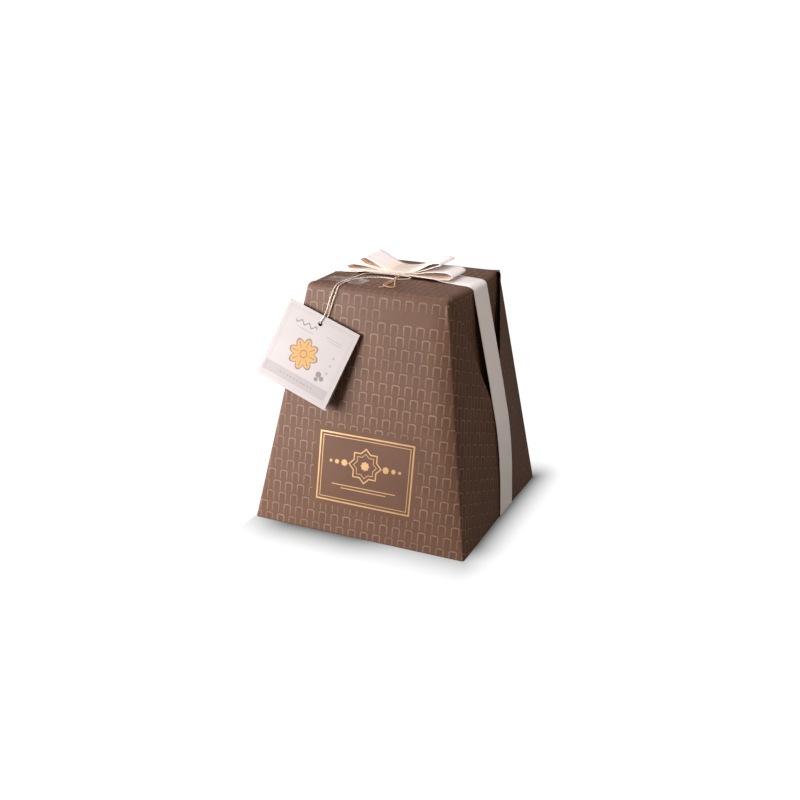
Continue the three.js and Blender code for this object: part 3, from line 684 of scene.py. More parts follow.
class Box:
    """The wrapped box's form, from the driving sizes."""

    def __init__(self, sizes):
        self.base = mm(sizes.base_side)
        self.top = mm(sizes.top_side)
        self.height = mm(sizes.height)
        self.slope = (self.base - self.top) / 2 / self.height
        self.lean = math.atan(self.slope)
        self.round_z = self.height - TOP_EDGE_R
        self.round_x = self.half(self.round_z) - TOP_EDGE_R / math.cos(self.lean)
        self.last_fold_z = self.height - LAST_FOLD_BELOW
        self.ribbon_half = mm(sizes.ribbon_width) / 2
        side_rise = math.hypot(self.height, self.base / 2 - self.top / 2)
        # How much the print turns where the paper goes round an upright corner.
        self.turn = 2 * math.atan2(self.base / 2 - self.top / 2, side_rise)
        self.round_travel = TOP_EDGE_R * (math.pi / 2 - self.lean)

    def half(self, z):
        return self.base / 2 - self.slope * z

    def corner_r(self, z):
        return lerp(CORNER_R_BASE, CORNER_R_TOP, z / self.height)

    def seam_y(self, z):
        return lerp(SEAM_BASE_Y, FOLD_TIP_Y, z / FOLD_TIP_Z)

    def fold_y(self, side, z):
        tip = self.seam_y(min(z, FOLD_TIP_Z)) + side * SEAM_SLIT / 2
        t = max(0.0, (z - FOLD_TIP_Z) / (self.height - FOLD_TIP_Z))
        return lerp(tip, side * (self.top / 2 - FOLD_START_IN), t)

    def fold_out(self, z):
        if z > FOLD_TIP_Z:
            share = (self.height + 1 - z) / (self.height + 1 - FOLD_TIP_Z)
            return FOLD_TIP_OUT * share**FOLD_SWELL
        foot = self.base / 2 - SEAM_BASE_IN
        drawn_in = foot - (self.half(FOLD_TIP_Z) + FOLD_TIP_OUT)
        return foot - drawn_in * (z / FOLD_TIP_Z) ** SEAM_CURVE - self.half(z)

    def tuck_out(self, side, z):
        high = max(0.0, (z - FOLD_TIP_Z) / (self.height - FOLD_TIP_Z))
        return FOLD_TUCK[side] * high

    def flap_out(self, y, z):
        width = self.half(z) - self.corner_r(z)
        middle = math.cos(min(1.0, abs(y) / width) * math.pi / 2)
        high = smooth((z - self.height + FLAP_BULGE_DROP) / FLAP_BULGE_DROP)
        open_out = -FLAP_DENT + (FLAP_DENT + FLAP_BULGE) * middle * high
        shut = self.fold_out(z) - SEAM_DEPTH
        return lerp(shut, open_out, smooth((z - SEAM_Z) / (FOLD_TIP_Z - SEAM_Z)))

    def gusset(self, side, z, plain):
        start = self.half(z) - self.corner_r(z)
        edge = min(start - LEAST_GUSSET, side * self.fold_y(side, z))
        out = self.fold_out(z) + self.tuck_out(side, z)
        floor = self.flap_out(side * edge, z)
        depth = out - floor
        lip = min(LIP_R, depth * 0.25, (start - edge) * 0.4)
        under = min(LIP_HOLLOW, depth * 0.55, (start - edge) * 0.6)
        points = []
        for i in range(1, GUSSET_STEPS + 1):
            t = i / GUSSET_STEPS
            points.append((side * lerp(start, edge + lip, t), out * t**GUSSET_CURVE, 0.0))
        if plain:
            for i in range(2 * LIP_STEPS):
                share = (i + 1) / (2 * LIP_STEPS + 1)
                points.append((side * (edge + lip * (1 - share)), out, 0.0))
            return points
        # painted shade: the hollow under a fold's free edge is darkened in the paper's colour
        painted_recess_shade = smooth(depth / RECESS_DEPTH)
        for i in range(1, LIP_STEPS + 1):
            a = math.pi * i / LIP_STEPS
            shade = painted_recess_shade * smooth((i / LIP_STEPS - 0.5) * 2)
            y = side * (edge + lip - lip * math.sin(a))
            points.append((y, out - lip + lip * math.cos(a), shade))
        for i in range(1, LIP_STEPS + 1):
            t = i / LIP_STEPS
            y = side * lerp(edge + lip, edge + under, t)
            points.append((y, lerp(out - 2 * lip, floor, t**1.5), painted_recess_shade))
        return points

    def side_profile(self, z, plain=False):
        front = self.gusset(-1, z, plain)
        back = self.gusset(1, z, plain)[::-1]
        flap = []
        lips = [front[GUSSET_STEPS - 1][0], back[-GUSSET_STEPS][0]]
        for i in range(1, FLAP_STEPS):
            share = (1 - math.cos(math.pi * i / FLAP_STEPS)) / 2
            y = lerp(front[-1][0], back[0][0], share)
            if plain:
                flap.append((y, self.fold_out(z), 0.0))
                continue
            near = min(y - lips[0], lips[1] - y)
            # painted shade on the flap beside a fold's hollow
            shade = smooth(1 - near / RECESS_REACH) * max(front[-1][2], back[0][2])
            flap.append((y, self.flap_out(y, z), shade))
        return front + flap + back

    def top_z(self, x, y):
        reach = min(1.0, max(abs(x), abs(y)) / self.round_x)
        return self.height + CROWN * (1 - reach**2)

    def relief_left(self, angle):
        return max(0.0, math.cos(angle)) ** RELIEF_POWER

    def filled_corner(self, x, y, z, ring):
        """A point of the top edge's rounding, which is fuller near the two back corners."""
        near_x = smooth((abs(x) - ring.half + CRISP_REACH) / CRISP_REACH)
        near_y = smooth((y - ring.half + CRISP_REACH) / CRISP_REACH)
        level, rise = math.cos(ring.angle), math.sin(ring.angle)
        more = TOP_EDGE_R * (1 / max(level, rise) - 1) * near_x * near_y
        return x + math.copysign(more * level, x), y + more * level, z + more * rise

    def softened_corner(self, x, y, z):
        """A point of the walls, drawn in where the paper is loose round the front right corner."""
        if not 0.0 < z < self.height:
            return x, y
        near = min(1.0, max(0.0, (x - self.half(z)) / SOFT_ALONG + 1.0))
        beside = max(0.0, 1.0 - (y + self.half(z)) / SOFT_BESIDE)
        drawn = SOFT_DEPTH * math.sin(math.pi * z / self.height) ** 0.5 * near**2 * beside
        return x - SOFT_SIDEWAYS * drawn, y + drawn

    def over_ribbon(self, x, y):
        """Whether a point of the base's rim lies where the ribbon passes under it."""
        beside = abs(y - band_y(self, math.copysign(1, x), 0))
        return abs(x) > self.base / 2 - GROOVE_END and beside < self.ribbon_half + GROOVE_MARGIN

    def rings(self):
        """The levels of the skin, from the middle of the base to the middle of the top."""
        foot = self.half(0) - BASE_EDGE_R
        found = [
            Ring(GROOVE_DEPTH, 0.0, foot * share, CORNER_R_BASE * share, 0.0, True, 0.0, "base")
            for share in BASE_SHARES
        ]
        for i in range(BASE_EDGE_STEPS):
            a = math.pi / 2 * (1 - i / BASE_EDGE_STEPS)
            half = self.half(0) - BASE_EDGE_R * (1 - math.cos(a))
            z = BASE_EDGE_R * (1 - math.sin(a))
            found.append(Ring(z, 0.0, half, CORNER_R_BASE, 1.0, i == 0, z, "wall"))
        count = round((self.round_z - BASE_EDGE_R) / WALL_STEP)
        for i in range(count):
            z = lerp(BASE_EDGE_R, self.round_z, i / count)
            travel = z / math.cos(self.lean)
            found.append(Ring(z, z, self.half(z), self.corner_r(z), 1.0, False, travel, "wall"))
        start = self.round_z / math.cos(self.lean)
        inner_r = CORNER_R_TOP * 0.75
        for i in range(ROUND_STEPS + 1):
            t = i / ROUND_STEPS
            a = lerp(self.lean, math.pi / 2, t)
            half = self.round_x + TOP_EDGE_R * math.cos(a)
            z = self.round_z + TOP_EDGE_R * math.sin(a)
            radius = lerp(CORNER_R_TOP, inner_r, t)
            travel = start + TOP_EDGE_R * (a - self.lean)
            region = "wall" if t < 1 else "top"
            profile_z = min(z, self.last_fold_z)
            left = self.relief_left(a)
            found.append(Ring(z, profile_z, half, radius, left, t == 1, travel, region, a))
        travel = start + self.round_travel
        for i in range(1, CROWN_STEPS):
            t = 1 - i / CROWN_STEPS
            half = t * self.round_x
            z = self.top_z(half, 0)
            found.append(Ring(z, self.last_fold_z, half, inner_r * t, 0.0, True, travel, "top"))
        return found

    def ring_points(self, ring):
        """A level's points, anticlockwise from above, each with its sheet and how much painted
        shade it gets in a fold's hollow.
        """
        profile = self.side_profile(ring.profile_z, ring.plain)
        flat = ring.half - ring.radius
        scale = flat / (self.half(ring.profile_z) - self.corner_r(ring.profile_z))
        folds = GUSSET_STEPS + 2 * LIP_STEPS
        points = []

        def side(sx):
            run = profile if sx > 0 else profile[::-1]
            for i, (y, out, shade) in enumerate(run):
                position = i if sx > 0 else len(run) - 1 - i
                sheet = "flap"
                if position < folds:
                    sheet = "front"
                elif position >= len(run) - folds:
                    sheet = "back"
                x = sx * (ring.half + out * ring.strength)
                points.append((x, y * scale, sheet, shade * ring.strength))

        def corner(quarter):
            sx = 1 if quarter in (0, 3) else -1
            sy = 1 if quarter < 2 else -1
            for i in range(CORNER_STEPS + 1):
                a = (quarter + i / CORNER_STEPS) * math.pi / 2
                x = sx * flat + ring.radius * math.cos(a)
                y = sy * flat + ring.radius * math.sin(a)
                points.append((x, y, "back" if sy > 0 else "front", 0.0))

        def face(sy):
            for i in range(1, FACE_STEPS):
                x = flat * (1 - 2 * i / FACE_STEPS) * sy
                points.append((x, sy * ring.half, "back" if sy > 0 else "front", 0.0))

        for half_turn, sign in enumerate((1, -1)):
            side(sign)
            corner(2 * half_turn)
            face(sign)
            corner(2 * half_turn + 1)
        return points

    def sheet_place(self, x, y, ring, sheet):
        """Where a point of a level lies in the print of its sheet."""
        if ring.region == "top":
            return x, ring.travel + y + self.round_x
        if ring.region == "base":
            return x, -(y + self.base / 2)
        if sheet == "flap":
            return y + 2 * FAR_SHEET, ring.travel
        mirror = 1 if sheet == "front" else -1
        far = 0.0 if sheet == "front" else FAR_SHEET
        y = y * mirror
        side = math.copysign(1.0, x)
        across, deep = abs(x) - (ring.half - ring.radius), -y - (ring.half - ring.radius)
        if across <= 0:
            return mirror * x + far, ring.travel
        if deep > 0:
            share = math.atan2(deep, across) / (math.pi / 2)
            if share > 0.5:
                reach = ring.half - ring.radius * (2 * share - 1)
                return mirror * side * reach + far, ring.travel
            round_corner = ring.radius * (1 - 2 * share)
        else:
            round_corner = ring.half + y
        u = ring.half + round_corner * math.cos(self.turn)
        return mirror * side * u + far, ring.travel + round_corner * math.sin(self.turn)


def paper_relief(x, y, z):
    """How deep the paper lies below its plane: broad waves and small buckles."""
    depth = 0.0
    for i, (across, up, deep) in enumerate(WAVES):
        depth += deep * (0.5 + 0.5 * noise_at(x / across + 9 * i, y / across, z / up))
    return depth


def relieved(box, ring, x, y, z):
    """A point of a level, moved in by the paper's waves where it lies on a wall or on the top."""
    if ring.region == "wall" and ring.strength == 1.0 and z > BASE_EDGE_R:
        depth = paper_relief(x, y, z) * smooth((z - BASE_EDGE_R) / WAVES_FROM_EDGE)
        if abs(x) < ring.half - ring.radius:
            y -= math.copysign(depth, y)
        elif abs(y) < ring.half - ring.radius:
            x -= math.copysign(depth, x)
    elif ring.region == "top":
        inwards = box.round_x - max(abs(x), abs(y))
        z -= paper_relief(x, y, z) * smooth(inwards / WAVES_FROM_EDGE)
    return x, y, z


def build_wrapped_box(sizes, material):
    box = Box(sizes)
    rings = box.rings()
    points = []
    sheets = []
    shades = []
    for ring in rings:
        for x, y, sheet, shade in box.ring_points(ring):
            sheets.append(sheet)
            shades.append((shade, 0.0, 0.0))
            z = ring.z
            if ring.angle is not None:
                x, y, z = box.filled_corner(x, y, z, ring)
            if ring.region == "wall" and x > 0 > y:
                x, y = box.softened_corner(x, y, z)
            if ring.region == "wall" and box.over_ribbon(x, y):
                z = max(z, GROOVE_DEPTH)
            points.append(relieved(box, ring, x, y, z))
    first = len(points)
    count = first // len(rings)
    faces = skin(len(rings), count)
    crown = box.top_z(0, 0)
    points.append((0.0, 0.0, GROOVE_DEPTH))
    points.append((0.0, 0.0, crown - paper_relief(0, 0, crown)))
    last = first - count
    for j in range(count):
        k = (j + 1) % count
        faces.append((k, j, first))
        faces.append((last + j, last + k, first + 1))
    piece = mesh_object("paper_wrap", points, faces, [material])
    keep_vectors(piece, "sheet", sheet_corners(box, rings, sheets, points, faces, count), "CORNER")
    # the painted shade of the folds' hollows, for the paper's material
    keep_vectors(piece, "painted_recess_shade", shades + [(0.0, 0.0, 0.0)] * 2)
    return piece


def sheet_corners(box, rings, sheets, points, faces, count):
    """The print's place for each corner of each face, on the face's own sheet."""
    places = []
    body = len(rings) * count
    for face in faces:
        rows = [rings[min(p, body - 1) // count] for p in face]
        region = rows[0].region if rows[0].region != "wall" else rows[2].region
        names = {sheets[p] for p in face if p < body}
        sheet = names.pop() if len(names) == 1 else "flap" if "flap" in names else "front"
        for p, row in zip(face, rows):
            x, y, _ = points[p]
            travel = rings[-1].travel if region == "top" else row.travel
            row = row._replace(region=region, travel=travel)
            places.append((*box.sheet_place(x, y, row, sheet), 0.0))
    return places


# ---- The ribbon --------------------------------------------------------------------

EDGE_LIFT = 1.5  # the twine lifts the ribbon's near edge
LIFT_FROM_X = -52.0
LIFT_TO_X = 48.0
LIFT_RAMP = 14.0
LIFT_TO_W = -2.0  # and it lies flat from here across
LIFT_RAMP_W = 11.0
FACING = 0.9  # a part of the turn whose normal is this near upright is over or under the box
UNDER_SAMPLES = 40
BAND_TOP_STEPS = 30
BAND_STEP = 2.0
BAND_ACROSS = 16
BAND_RIPPLE = 0.05
BOW_Y = 3.0
# The bow's middle line as [x, height over the top face's edges, rise across].
BOW_LINE = [
    (-9, 4.7, 0), (8, 4.7, 0), (26, 4.3, 0), (44, 3.9, 0), (52, 5.2, 0), (53.6, 7.6, 0),
    (49.5, 10.2, 0), (40, 10.7, 0), (27, 9, 0), (13, 6.3, 0), (0, 5.4, 0), (-14, 5.3, 0),
    (-32, 4.8, 0), (-50, 4.3, 0), (-57, 5.2, 0), (-58.6, 7.2, 0), (-54, 9.4, 0), (-42, 9.6, 0),
    (-28, 7.9, 0), (-14, 6.2, 0), (0, 6.2, 0), (10, 7.4, 0.01), (20, 10.4, 0.04),
    (30, 14, 0.04), (37.5, 16.6, 0.02), (41.4, 17.8, 0), (39.4, 19.2, 0), (31, 18, 0.02),
    (21, 13.2, 0.06), (10, 8.8, 0.06), (0, 7.3, 0.03), (-13, 7.7, 0.01), (-24.5, 12, 0.02),
    (-33.5, 16.2, 0.03), (-40, 18.2, 0.03), (-43.8, 15.8, 0.03), (-41, 12.6, 0.02),
    (-32, 9.5, 0.01), (-22, 7.9, 0), (-14, 7, 0),
]
RISE_SCALE = 100.0  # a rise across is kept in the line's y, this many times as large
BOW_LAST_LOOP = 30  # the point of BOW_LINE where the last loop starts, which turns the other way
BOW_CENTRE_SHADE = 0.6  # painted shade: the bow's colour is darkened in its gathered middle
BOW_CENTRE_REACH = 16.0
BOW_TURN = 14.0  # the ribbon's sides change over this distance round the middle
BOW_ACROSS = 12
BOW_PER_SPAN = 9


def satin_material(colours, sizes):
    """Ivory satin. An attribute says where the ribbon's other, warmer side shows, a colour that
    also paints the warm glow inside the loops, and where painted shade darkens the bow's middle.
    """
    constants = {"Sheen_Weight": 0.5, "Sheen_Roughness": 0.4, "Specular_IOR_Level": 0.35}
    material, make, finish = shader("ivory satin", **constants)
    place_in = make.attribute("ribbon")
    _, _, back = make.split(place_in)
    half_width = mm(sizes.ribbon_width) / 2
    weave = make.group(shared("Ribbon weave"), place=place_in, half_width=half_width)
    # the loops' insides get the warmer colour, partly their other side and partly painted glow
    base = make.mix(make.least(back, 1.0), colours.ribbon, colours.ribbon_back_and_glow)
    centre_shade = back.ramp(1.0, 2.0, 1.0, BOW_CENTRE_SHADE)
    toned = make.scaled(base, weave["Tone"] * centre_shade)
    finish(
        Base_Color=make.mix(weave["Selvedge"] * 0.35, toned, darker(colours.ribbon, 0.93)),
        Roughness=weave["Tone"].ramp(0.95, 1.03, 0.36, 0.48),
        Normal=weave["Height"].bump(0.3, 0.00005),
    )
    return material


def out_at(profile, y):
    """A profile's largest reach at one y."""
    out = -math.inf
    for (ya, a, _), (yb, b, _) in zip(profile, profile[1:]):
        if (ya - y) * (yb - y) <= 0 and ya != yb:
            out = max(out, a + (b - a) * (y - ya) / (yb - ya))
    return out


def band_y(box, side, z):
    """The middle line's y on the right (1) or left (-1) side face."""
    top = RIBBON_Y["top_right" if side > 0 else "top_left"]
    base = RIBBON_Y["base_right" if side > 0 else "base_left"]
    return lerp(base, top, z / box.height)


def reach_under(box, side, z):
    """The furthest that a side face reaches out under the ribbon."""
    profile = box.side_profile(min(z, box.last_fold_z))
    middle = band_y(box, side, z)
    across = [(i / UNDER_SAMPLES * 2 - 1) * box.ribbon_half for i in range(UNDER_SAMPLES + 1)]
    return max(out_at(profile, middle + w) for w in across)


def half_outline(box, side):
    """The box's outline under the ribbon, as seen from the front, for one half."""
    points = [(side * (box.half(0) + reach_under(box, side, 0) + GAP), GROOVE_DEPTH)]
    count = round((box.round_z - BASE_EDGE_R) / WALL_STEP)
    for i in range(count):
        z = lerp(BASE_EDGE_R, box.round_z, i / count)
        points.append((side * (box.half(z) + reach_under(box, side, z)), z))
    for i in range(ROUND_STEPS + 1):
        a = lerp(box.lean, math.pi / 2, i / ROUND_STEPS)
        z = box.round_z + TOP_EDGE_R * math.sin(a)
        out = reach_under(box, side, z) * box.relief_left(a)
        points.append((side * (box.round_x + TOP_EDGE_R * math.cos(a) + out), z))
    for i in range(1, BAND_TOP_STEPS):
        x = box.round_x * (1 - i / BAND_TOP_STEPS)
        points.append((side * x, box.top_z(x, 0)))
    return points


def hull_of(points):
    """The convex hull, anticlockwise: a taut ribbon lies on it."""
    def chain(run):
        kept = []
        for p in run:
            while len(kept) > 1:
                (ox, oy), (ax, ay) = kept[-2], kept[-1]
                if (ax - ox) * (p[1] - oy) - (ay - oy) * (p[0] - ox) > 0:
                    break
                kept.pop()
            kept.append(p)
        return kept[:-1]

    ordered = sorted(points)
    return chain(ordered) + chain(ordered[::-1])


def closed_even(points, step):
    """Points of a closed line, a step apart."""
    return evenly_spaced([(x, 0.0, z) for x, z in points + points[:1]], step)[:-1]


def build_band(sizes, material):
    box = Box(sizes)
    width = mm(sizes.ribbon_width)
    thick = mm(sizes.ribbon_thickness)
    hull = hull_of(half_outline(box, 1) + half_outline(box, -1) + [(0.0, box.top_z(0, 0))])
    line = closed_even(hull, BAND_STEP)
    n = len(line)
    rings = []
    places = []
    for i, p in enumerate(line):
        along = line[(i + 1) % n] - line[i - 1]
        normal = Vector((along.z, 0, -along.x)).normalized()
        over = normal.z > FACING
        middle = band_y(box, math.copysign(1, p.x), p.z)
        if over:
            middle = lerp(RIBBON_Y["top_left"], RIBBON_Y["top_right"], p.x / box.top + 0.5)
        elif normal.z < -FACING:
            middle = lerp(RIBBON_Y["base_left"], RIBBON_Y["base_right"], p.x / box.base + 0.5)
        ring = []
        for side in (1, -1):
            for j in range(BAND_ACROSS + 1):
                w = (j / BAND_ACROSS - 0.5) * width * side
                lift = lift_at(p.x, w) if over else 0.0
                ripple = BAND_RIPPLE * noise_at(i * BAND_STEP / 30, w / 14, 3.0)
                d = GAP + thick / 2 + side * thick / 2 + ripple
                ring.append((p.x + normal.x * d, middle + w, p.z + normal.z * d + lift))
                places.append((i * BAND_STEP, w, 0.0))
        rings.append(ring)
    faces = [f[::-1] for f in skin(n, len(rings[0]), closed_rows=True)]
    piece = mesh_object("ribbon_turn", flat_list(rings), faces, [material])
    keep_vectors(piece, "ribbon", places)
    return piece


def lift_at(x, w):
    """How much the twine lifts the ribbon's near edge."""
    along = smooth((x - LIFT_FROM_X) / LIFT_RAMP) * smooth((LIFT_TO_X - x) / LIFT_RAMP)
    return EDGE_LIFT * along * smooth((LIFT_TO_W - w) / LIFT_RAMP_W)


def build_bow(sizes, material):
    width = mm(sizes.ribbon_width)
    thick = mm(sizes.ribbon_thickness)
    height = mm(sizes.height)
    line = catmull([(x, rise * RISE_SCALE, height + up) for x, up, rise in BOW_LINE], BOW_PER_SPAN)
    last_loop = BOW_LAST_LOOP * BOW_PER_SPAN
    rings = []
    places = []
    run = 0.0
    for i, p in enumerate(line):
        after = line[min(i + 1, len(line) - 1)]
        before = line[max(i - 1, 0)]
        tangent = Vector((after.x - before.x, 0, after.z - before.z)).normalized()
        normal = Vector((-tangent.z, 0, tangent.x))
        run += Vector((p.x - before.x, 0, p.z - before.z)).length
        ring = []
        for side in (-1, 1):
            for j in range(BOW_ACROSS + 1):
                w = (j / BOW_ACROSS - 0.5) * width * -side
                d = side * thick / 2
                rise = w * p.y / RISE_SCALE
                ring.append((p.x + normal.x * d, BOW_Y + w, p.z + normal.z * d + rise))
                turned = abs(p.x) if i > last_loop else p.x
                # the share of the warmer colour: the ribbon's other side, which also stands in for
                # the glow inside the loops
                inside = smooth(0.5 + side * turned / BOW_TURN)
                # above 1 the share also darkens the bow's middle with painted shade
                middle = math.exp(-((p.x / BOW_CENTRE_REACH) ** 2))
                inside = lerp(inside, 1.0, smooth(middle * 1.5)) + middle
                places.append((run, w, inside))
        rings.append(ring)
    piece = mesh_object("bow", flat_list(rings), strip_faces(rings), [material])
    keep_vectors(piece, "ribbon", places)
    return piece


# ---- The twine ---------------------------------------------------------------------

CARD_TURN = math.radians(-19.2)  # in the front face's plane
CARD_LEAN = math.radians(-8)  # its foot stands off the face
CARD_OPENING = math.radians(3)  # between its two leaves
CARD_T = 0.5
CARD_AT = (-62.4, 175.0, 8.8)  # its middle, along and up the front face, and off it
CARD_FOLD = 1.5  # how far the leaves stay together below the fold at the card's top
BACK_LEAF_MORE = 1.0
HOLE_R = 2.3
HOLE_AT = (-1.4, 31.5)
KNOT = (1.5, -31.0)
KNOT_OVER = 2.0  # the middle of the knot's ring stands this high
KNOT_RING = 1.25
KNOT_TURNS = (-0.45, 0.45)  # its two turns lie beside each other
KNOT_LEAN = 0.35
KNOT_STEPS = 16
TWIST = 3.4  # length of one turn of the twine's two threads
TWINE_STEP = 0.3
TWINE_PER_SPAN = 24
THREAD_SIDES = 7
THREAD_SHARE = 0.54  # a thread's radius, as a share of the twine's
THREAD_END = 0.35  # its radius at its very end, and how much it grows at each step from there
THREAD_FLUFF = 0.1
GOLD_THREAD = 2


def card_frame(box):
    """The card's own axes in the part: x across, y up, z out of its front leaf."""
    return (
        Matrix.Translation((0, -box.base / 2, 0))
        @ Matrix.Rotation(math.pi / 2 - box.lean, 4, "X")
        @ Matrix.Translation(CARD_AT)
        @ Matrix.Rotation(CARD_TURN, 4, "Z")
        @ Matrix.Rotation(CARD_LEAN, 4, "X")
    )


class Lay:
    """Places that the twine goes through, its radius clear of what it lies on."""

    def __init__(self, sizes):
        self.box = Box(sizes)
        self.card = card_frame(self.box)
        self.r = mm(sizes.twine_diameter) / 2

    def on_top(self, x, y, lift=0.0):
        return Vector((x, y, self.box.top_z(x, y) + GAP + self.r + lift))

    def on_front(self, x, z, off):
        return Vector((x, -self.box.half(z) - (off + self.r) / math.cos(self.box.lean), z))

    def over_edge(self, x, degrees):
        r = TOP_EDGE_R + GAP + self.r
        a = math.radians(degrees)
        return Vector((x, -self.box.round_x - r * math.cos(a), self.box.round_z + r * math.sin(a)))

    def at_hole(self, x, up, out):
        return self.card @ Vector((HOLE_AT[0] + x, HOLE_AT[1] + up, out))

    def near_knot(self, points):
        return [self.on_top(KNOT[0] + x, KNOT[1] + y, lift) for x, y, lift in points]

    def route(self):
        return [
            self.on_top(*KNOT, 0.3),
            self.on_top(-8.5, -28.2),
            self.on_top(-19, -30.5),
            self.on_top(-29, -37),
            self.on_top(-35.5, -47),
            self.on_top(-38.5, -57),
            self.over_edge(-39, 90),
            self.over_edge(-39.6, 53),
            self.on_front(-41, 233.5, 0.5),
            self.on_front(-43.6, 225, 0.5),
            self.on_front(-46.2, 215, 0.5),
            self.at_hole(3.2, 4.5, -2.2),
            self.at_hole(1, 1.7, -2.6),
            self.at_hole(0, 0.7, -1.4),
            self.at_hole(-0.3, 0.6, -0.2),
            self.at_hole(-0.4, 1.4, 0.8),
            self.at_hole(-0.2, 3.2, 1.05),
            self.at_hole(0.4, 7.5, 1.05),
            self.on_front(-48.6, 216, 2.4),
            self.on_front(-46.8, 226, 0.9),
            self.on_front(-44.4, 234, 0.5),
            self.over_edge(-42.9, 53),
            self.over_edge(-42.6, 90),
            self.on_top(-42.3, -57),
            self.on_top(-40.8, -48),
            self.on_top(-38.8, -38),
            self.on_top(-38.2, -28),
            self.on_top(-37, -20.5),
            self.on_top(-31, -14.6),
            self.on_top(-22, -13.3),
            self.on_top(-10, -13.2),
            self.on_top(2, -13.4),
            self.on_top(9.6, -15.4),
            self.on_top(12, -20.2),
            self.on_top(8.5, -26),
            self.on_top(*KNOT, 0.3),
        ]


# Points from the knot as (x, y, lift): a short end, the loop that lies to the front, a long end.
SHORT_END = [(0.3, -0.4, 0.45), (0.4, 3.5, 1.6), (0.4, 7.5, 2.4), (-0.6, 10.6, 3.6)]
LOOP = [
    (0.1, 0.5, 0.65),
    (1.8, -6, 0.6),
    (5, -14, 0),
    (8.4, -21.5, 0),
    (9.8, -25.6, 0),
    (8.4, -27.6, 0),
    (4.4, -28.8, 0.5),
    (0.8, -28.9, 1.4),
    (-0.7, -26.6, 1.5),
    (-1.2, -19, 1.4),
    (-1, -9, 1),
    (-0.45, 0.35, 0.85),
]
LONG_END = [(-0.2, 0.6, 0.35), (0.4, -9, 0), (-0.6, -20, 0), (0.4, -28, 0), (-3.4, -32, 0)]


def thread_material(name, base):
    material, make, finish = shader(name, Roughness=0.75, Sheen_Weight=0.3)
    grain = fibre_grain(make, 1.6, 0.18)
    finish(
        Base_Color=make.scaled(base, grain["Tone"]),
        Normal=grain["Height"].bump(0.5, 0.00008),
    )
    return material


def twisted(points, radius, phase):
    """Two threads twisted round a line: points, faces, and the thread of each face."""
    line = evenly_spaced(catmull(points, TWINE_PER_SPAN), TWINE_STEP)
    last = len(line) - 1
    thread_r = radius * THREAD_SHARE
    vertices = []
    faces = []
    threads = []
    for thread in range(2):
        first = len(vertices)
        normal = Vector((0.0, 0.0, 1.0))
        for i, p in enumerate(line):
            tangent = (line[min(i + 1, last)] - line[max(i - 1, 0)]).normalized()
            normal = (normal - tangent * normal.dot(tangent)).normalized()
            across = tangent.cross(normal)
            turn = 2 * math.pi * (i * TWINE_STEP / TWIST + phase) + math.pi * thread
            centre = p + (normal * math.cos(turn) + across * math.sin(turn)) * (radius - thread_r)
            end = min(1.0, THREAD_END * (1 + min(i, last - i)))
            r = thread_r * end * (1 + THREAD_FLUFF * noise_at(i * 0.4, thread * 7.0, 1.0))
            for j in range(THREAD_SIDES):
                a = 2 * math.pi * j / THREAD_SIDES
                vertices.append(centre + (normal * math.cos(a) + across * math.sin(a)) * r)
        faces.extend(tuple(first + p for p in quad) for quad in skin(len(line), THREAD_SIDES))
        for start, turned in ((first, True), (len(vertices) - THREAD_SIDES, False)):
            cap = tuple(range(start, start + THREAD_SIDES))
            faces.append(cap[::-1] if turned else cap)
        threads.extend([thread] * (len(faces) - len(threads)))
    return vertices, faces, threads


def build_twine(sizes, materials):
    lay = Lay(sizes)
    vertices = []
    faces = []
    threads = []

    def add(points, phase, gold=True):
        more, more_faces, more_threads = twisted(points, lay.r, phase)
        start = len(vertices)
        vertices.extend(more)
        faces.extend(tuple(start + p for p in f) for f in more_faces)
        threads.extend(GOLD_THREAD if gold else thread for thread in more_threads)

    add(lay.route(), 0.0, gold=False)
    for end, phase in ((SHORT_END, 0.3), (LOOP, 0.6), (LONG_END, 0.1)):
        add(lay.near_knot(end), phase)
    knot = lay.box.top_z(*KNOT) + GAP + KNOT_OVER
    for turn in KNOT_TURNS:
        wrap = []
        for i in range(KNOT_STEPS + 1):
            a = 2 * math.pi * i / KNOT_STEPS
            level, rise = KNOT_RING * math.cos(a), KNOT_RING * math.sin(a)
            wrap.append((KNOT[0] + turn + KNOT_LEAN * math.sin(a), KNOT[1] + level, knot + rise))
        add(wrap, turn)
    return mesh_object("twine_cord", vertices, faces, materials, threads)


# ---- The tape ----------------------------------------------------------------------

TAPE = {"x": -42.5, "y": -49.5, "length": 42.0, "width": 19.0, "turn": math.radians(-6)}
TAPE_T = 0.2
TAPE_STEPS = (84, 38)  # along and across
TAPE_CREASE = 0.05
TENT_REACH = 4.2  # the tape leaves the paper this far from a strand of twine
TENT_RAMP = 2.6  # and is as high as the strand after this much


def tape_material():
    material, make, finish = shader(
        "clear tape", Base_Color=(0.86, 0.86, 0.87, 1.0), Specular_IOR_Level=0.7
    )
    place_in = make.here()
    smear = make.noise(place_in, 90.0, 4.0, 0.6)
    finish(
        Alpha=smear.ramp(0.42, 0.68, 0.05, 0.2),
        Roughness=smear.ramp(0.35, 0.7, 0.22, 0.4),
        Normal=make.noise(place_in, 160.0, 2.0).bump(0.15, 0.0004),
    )
    return material


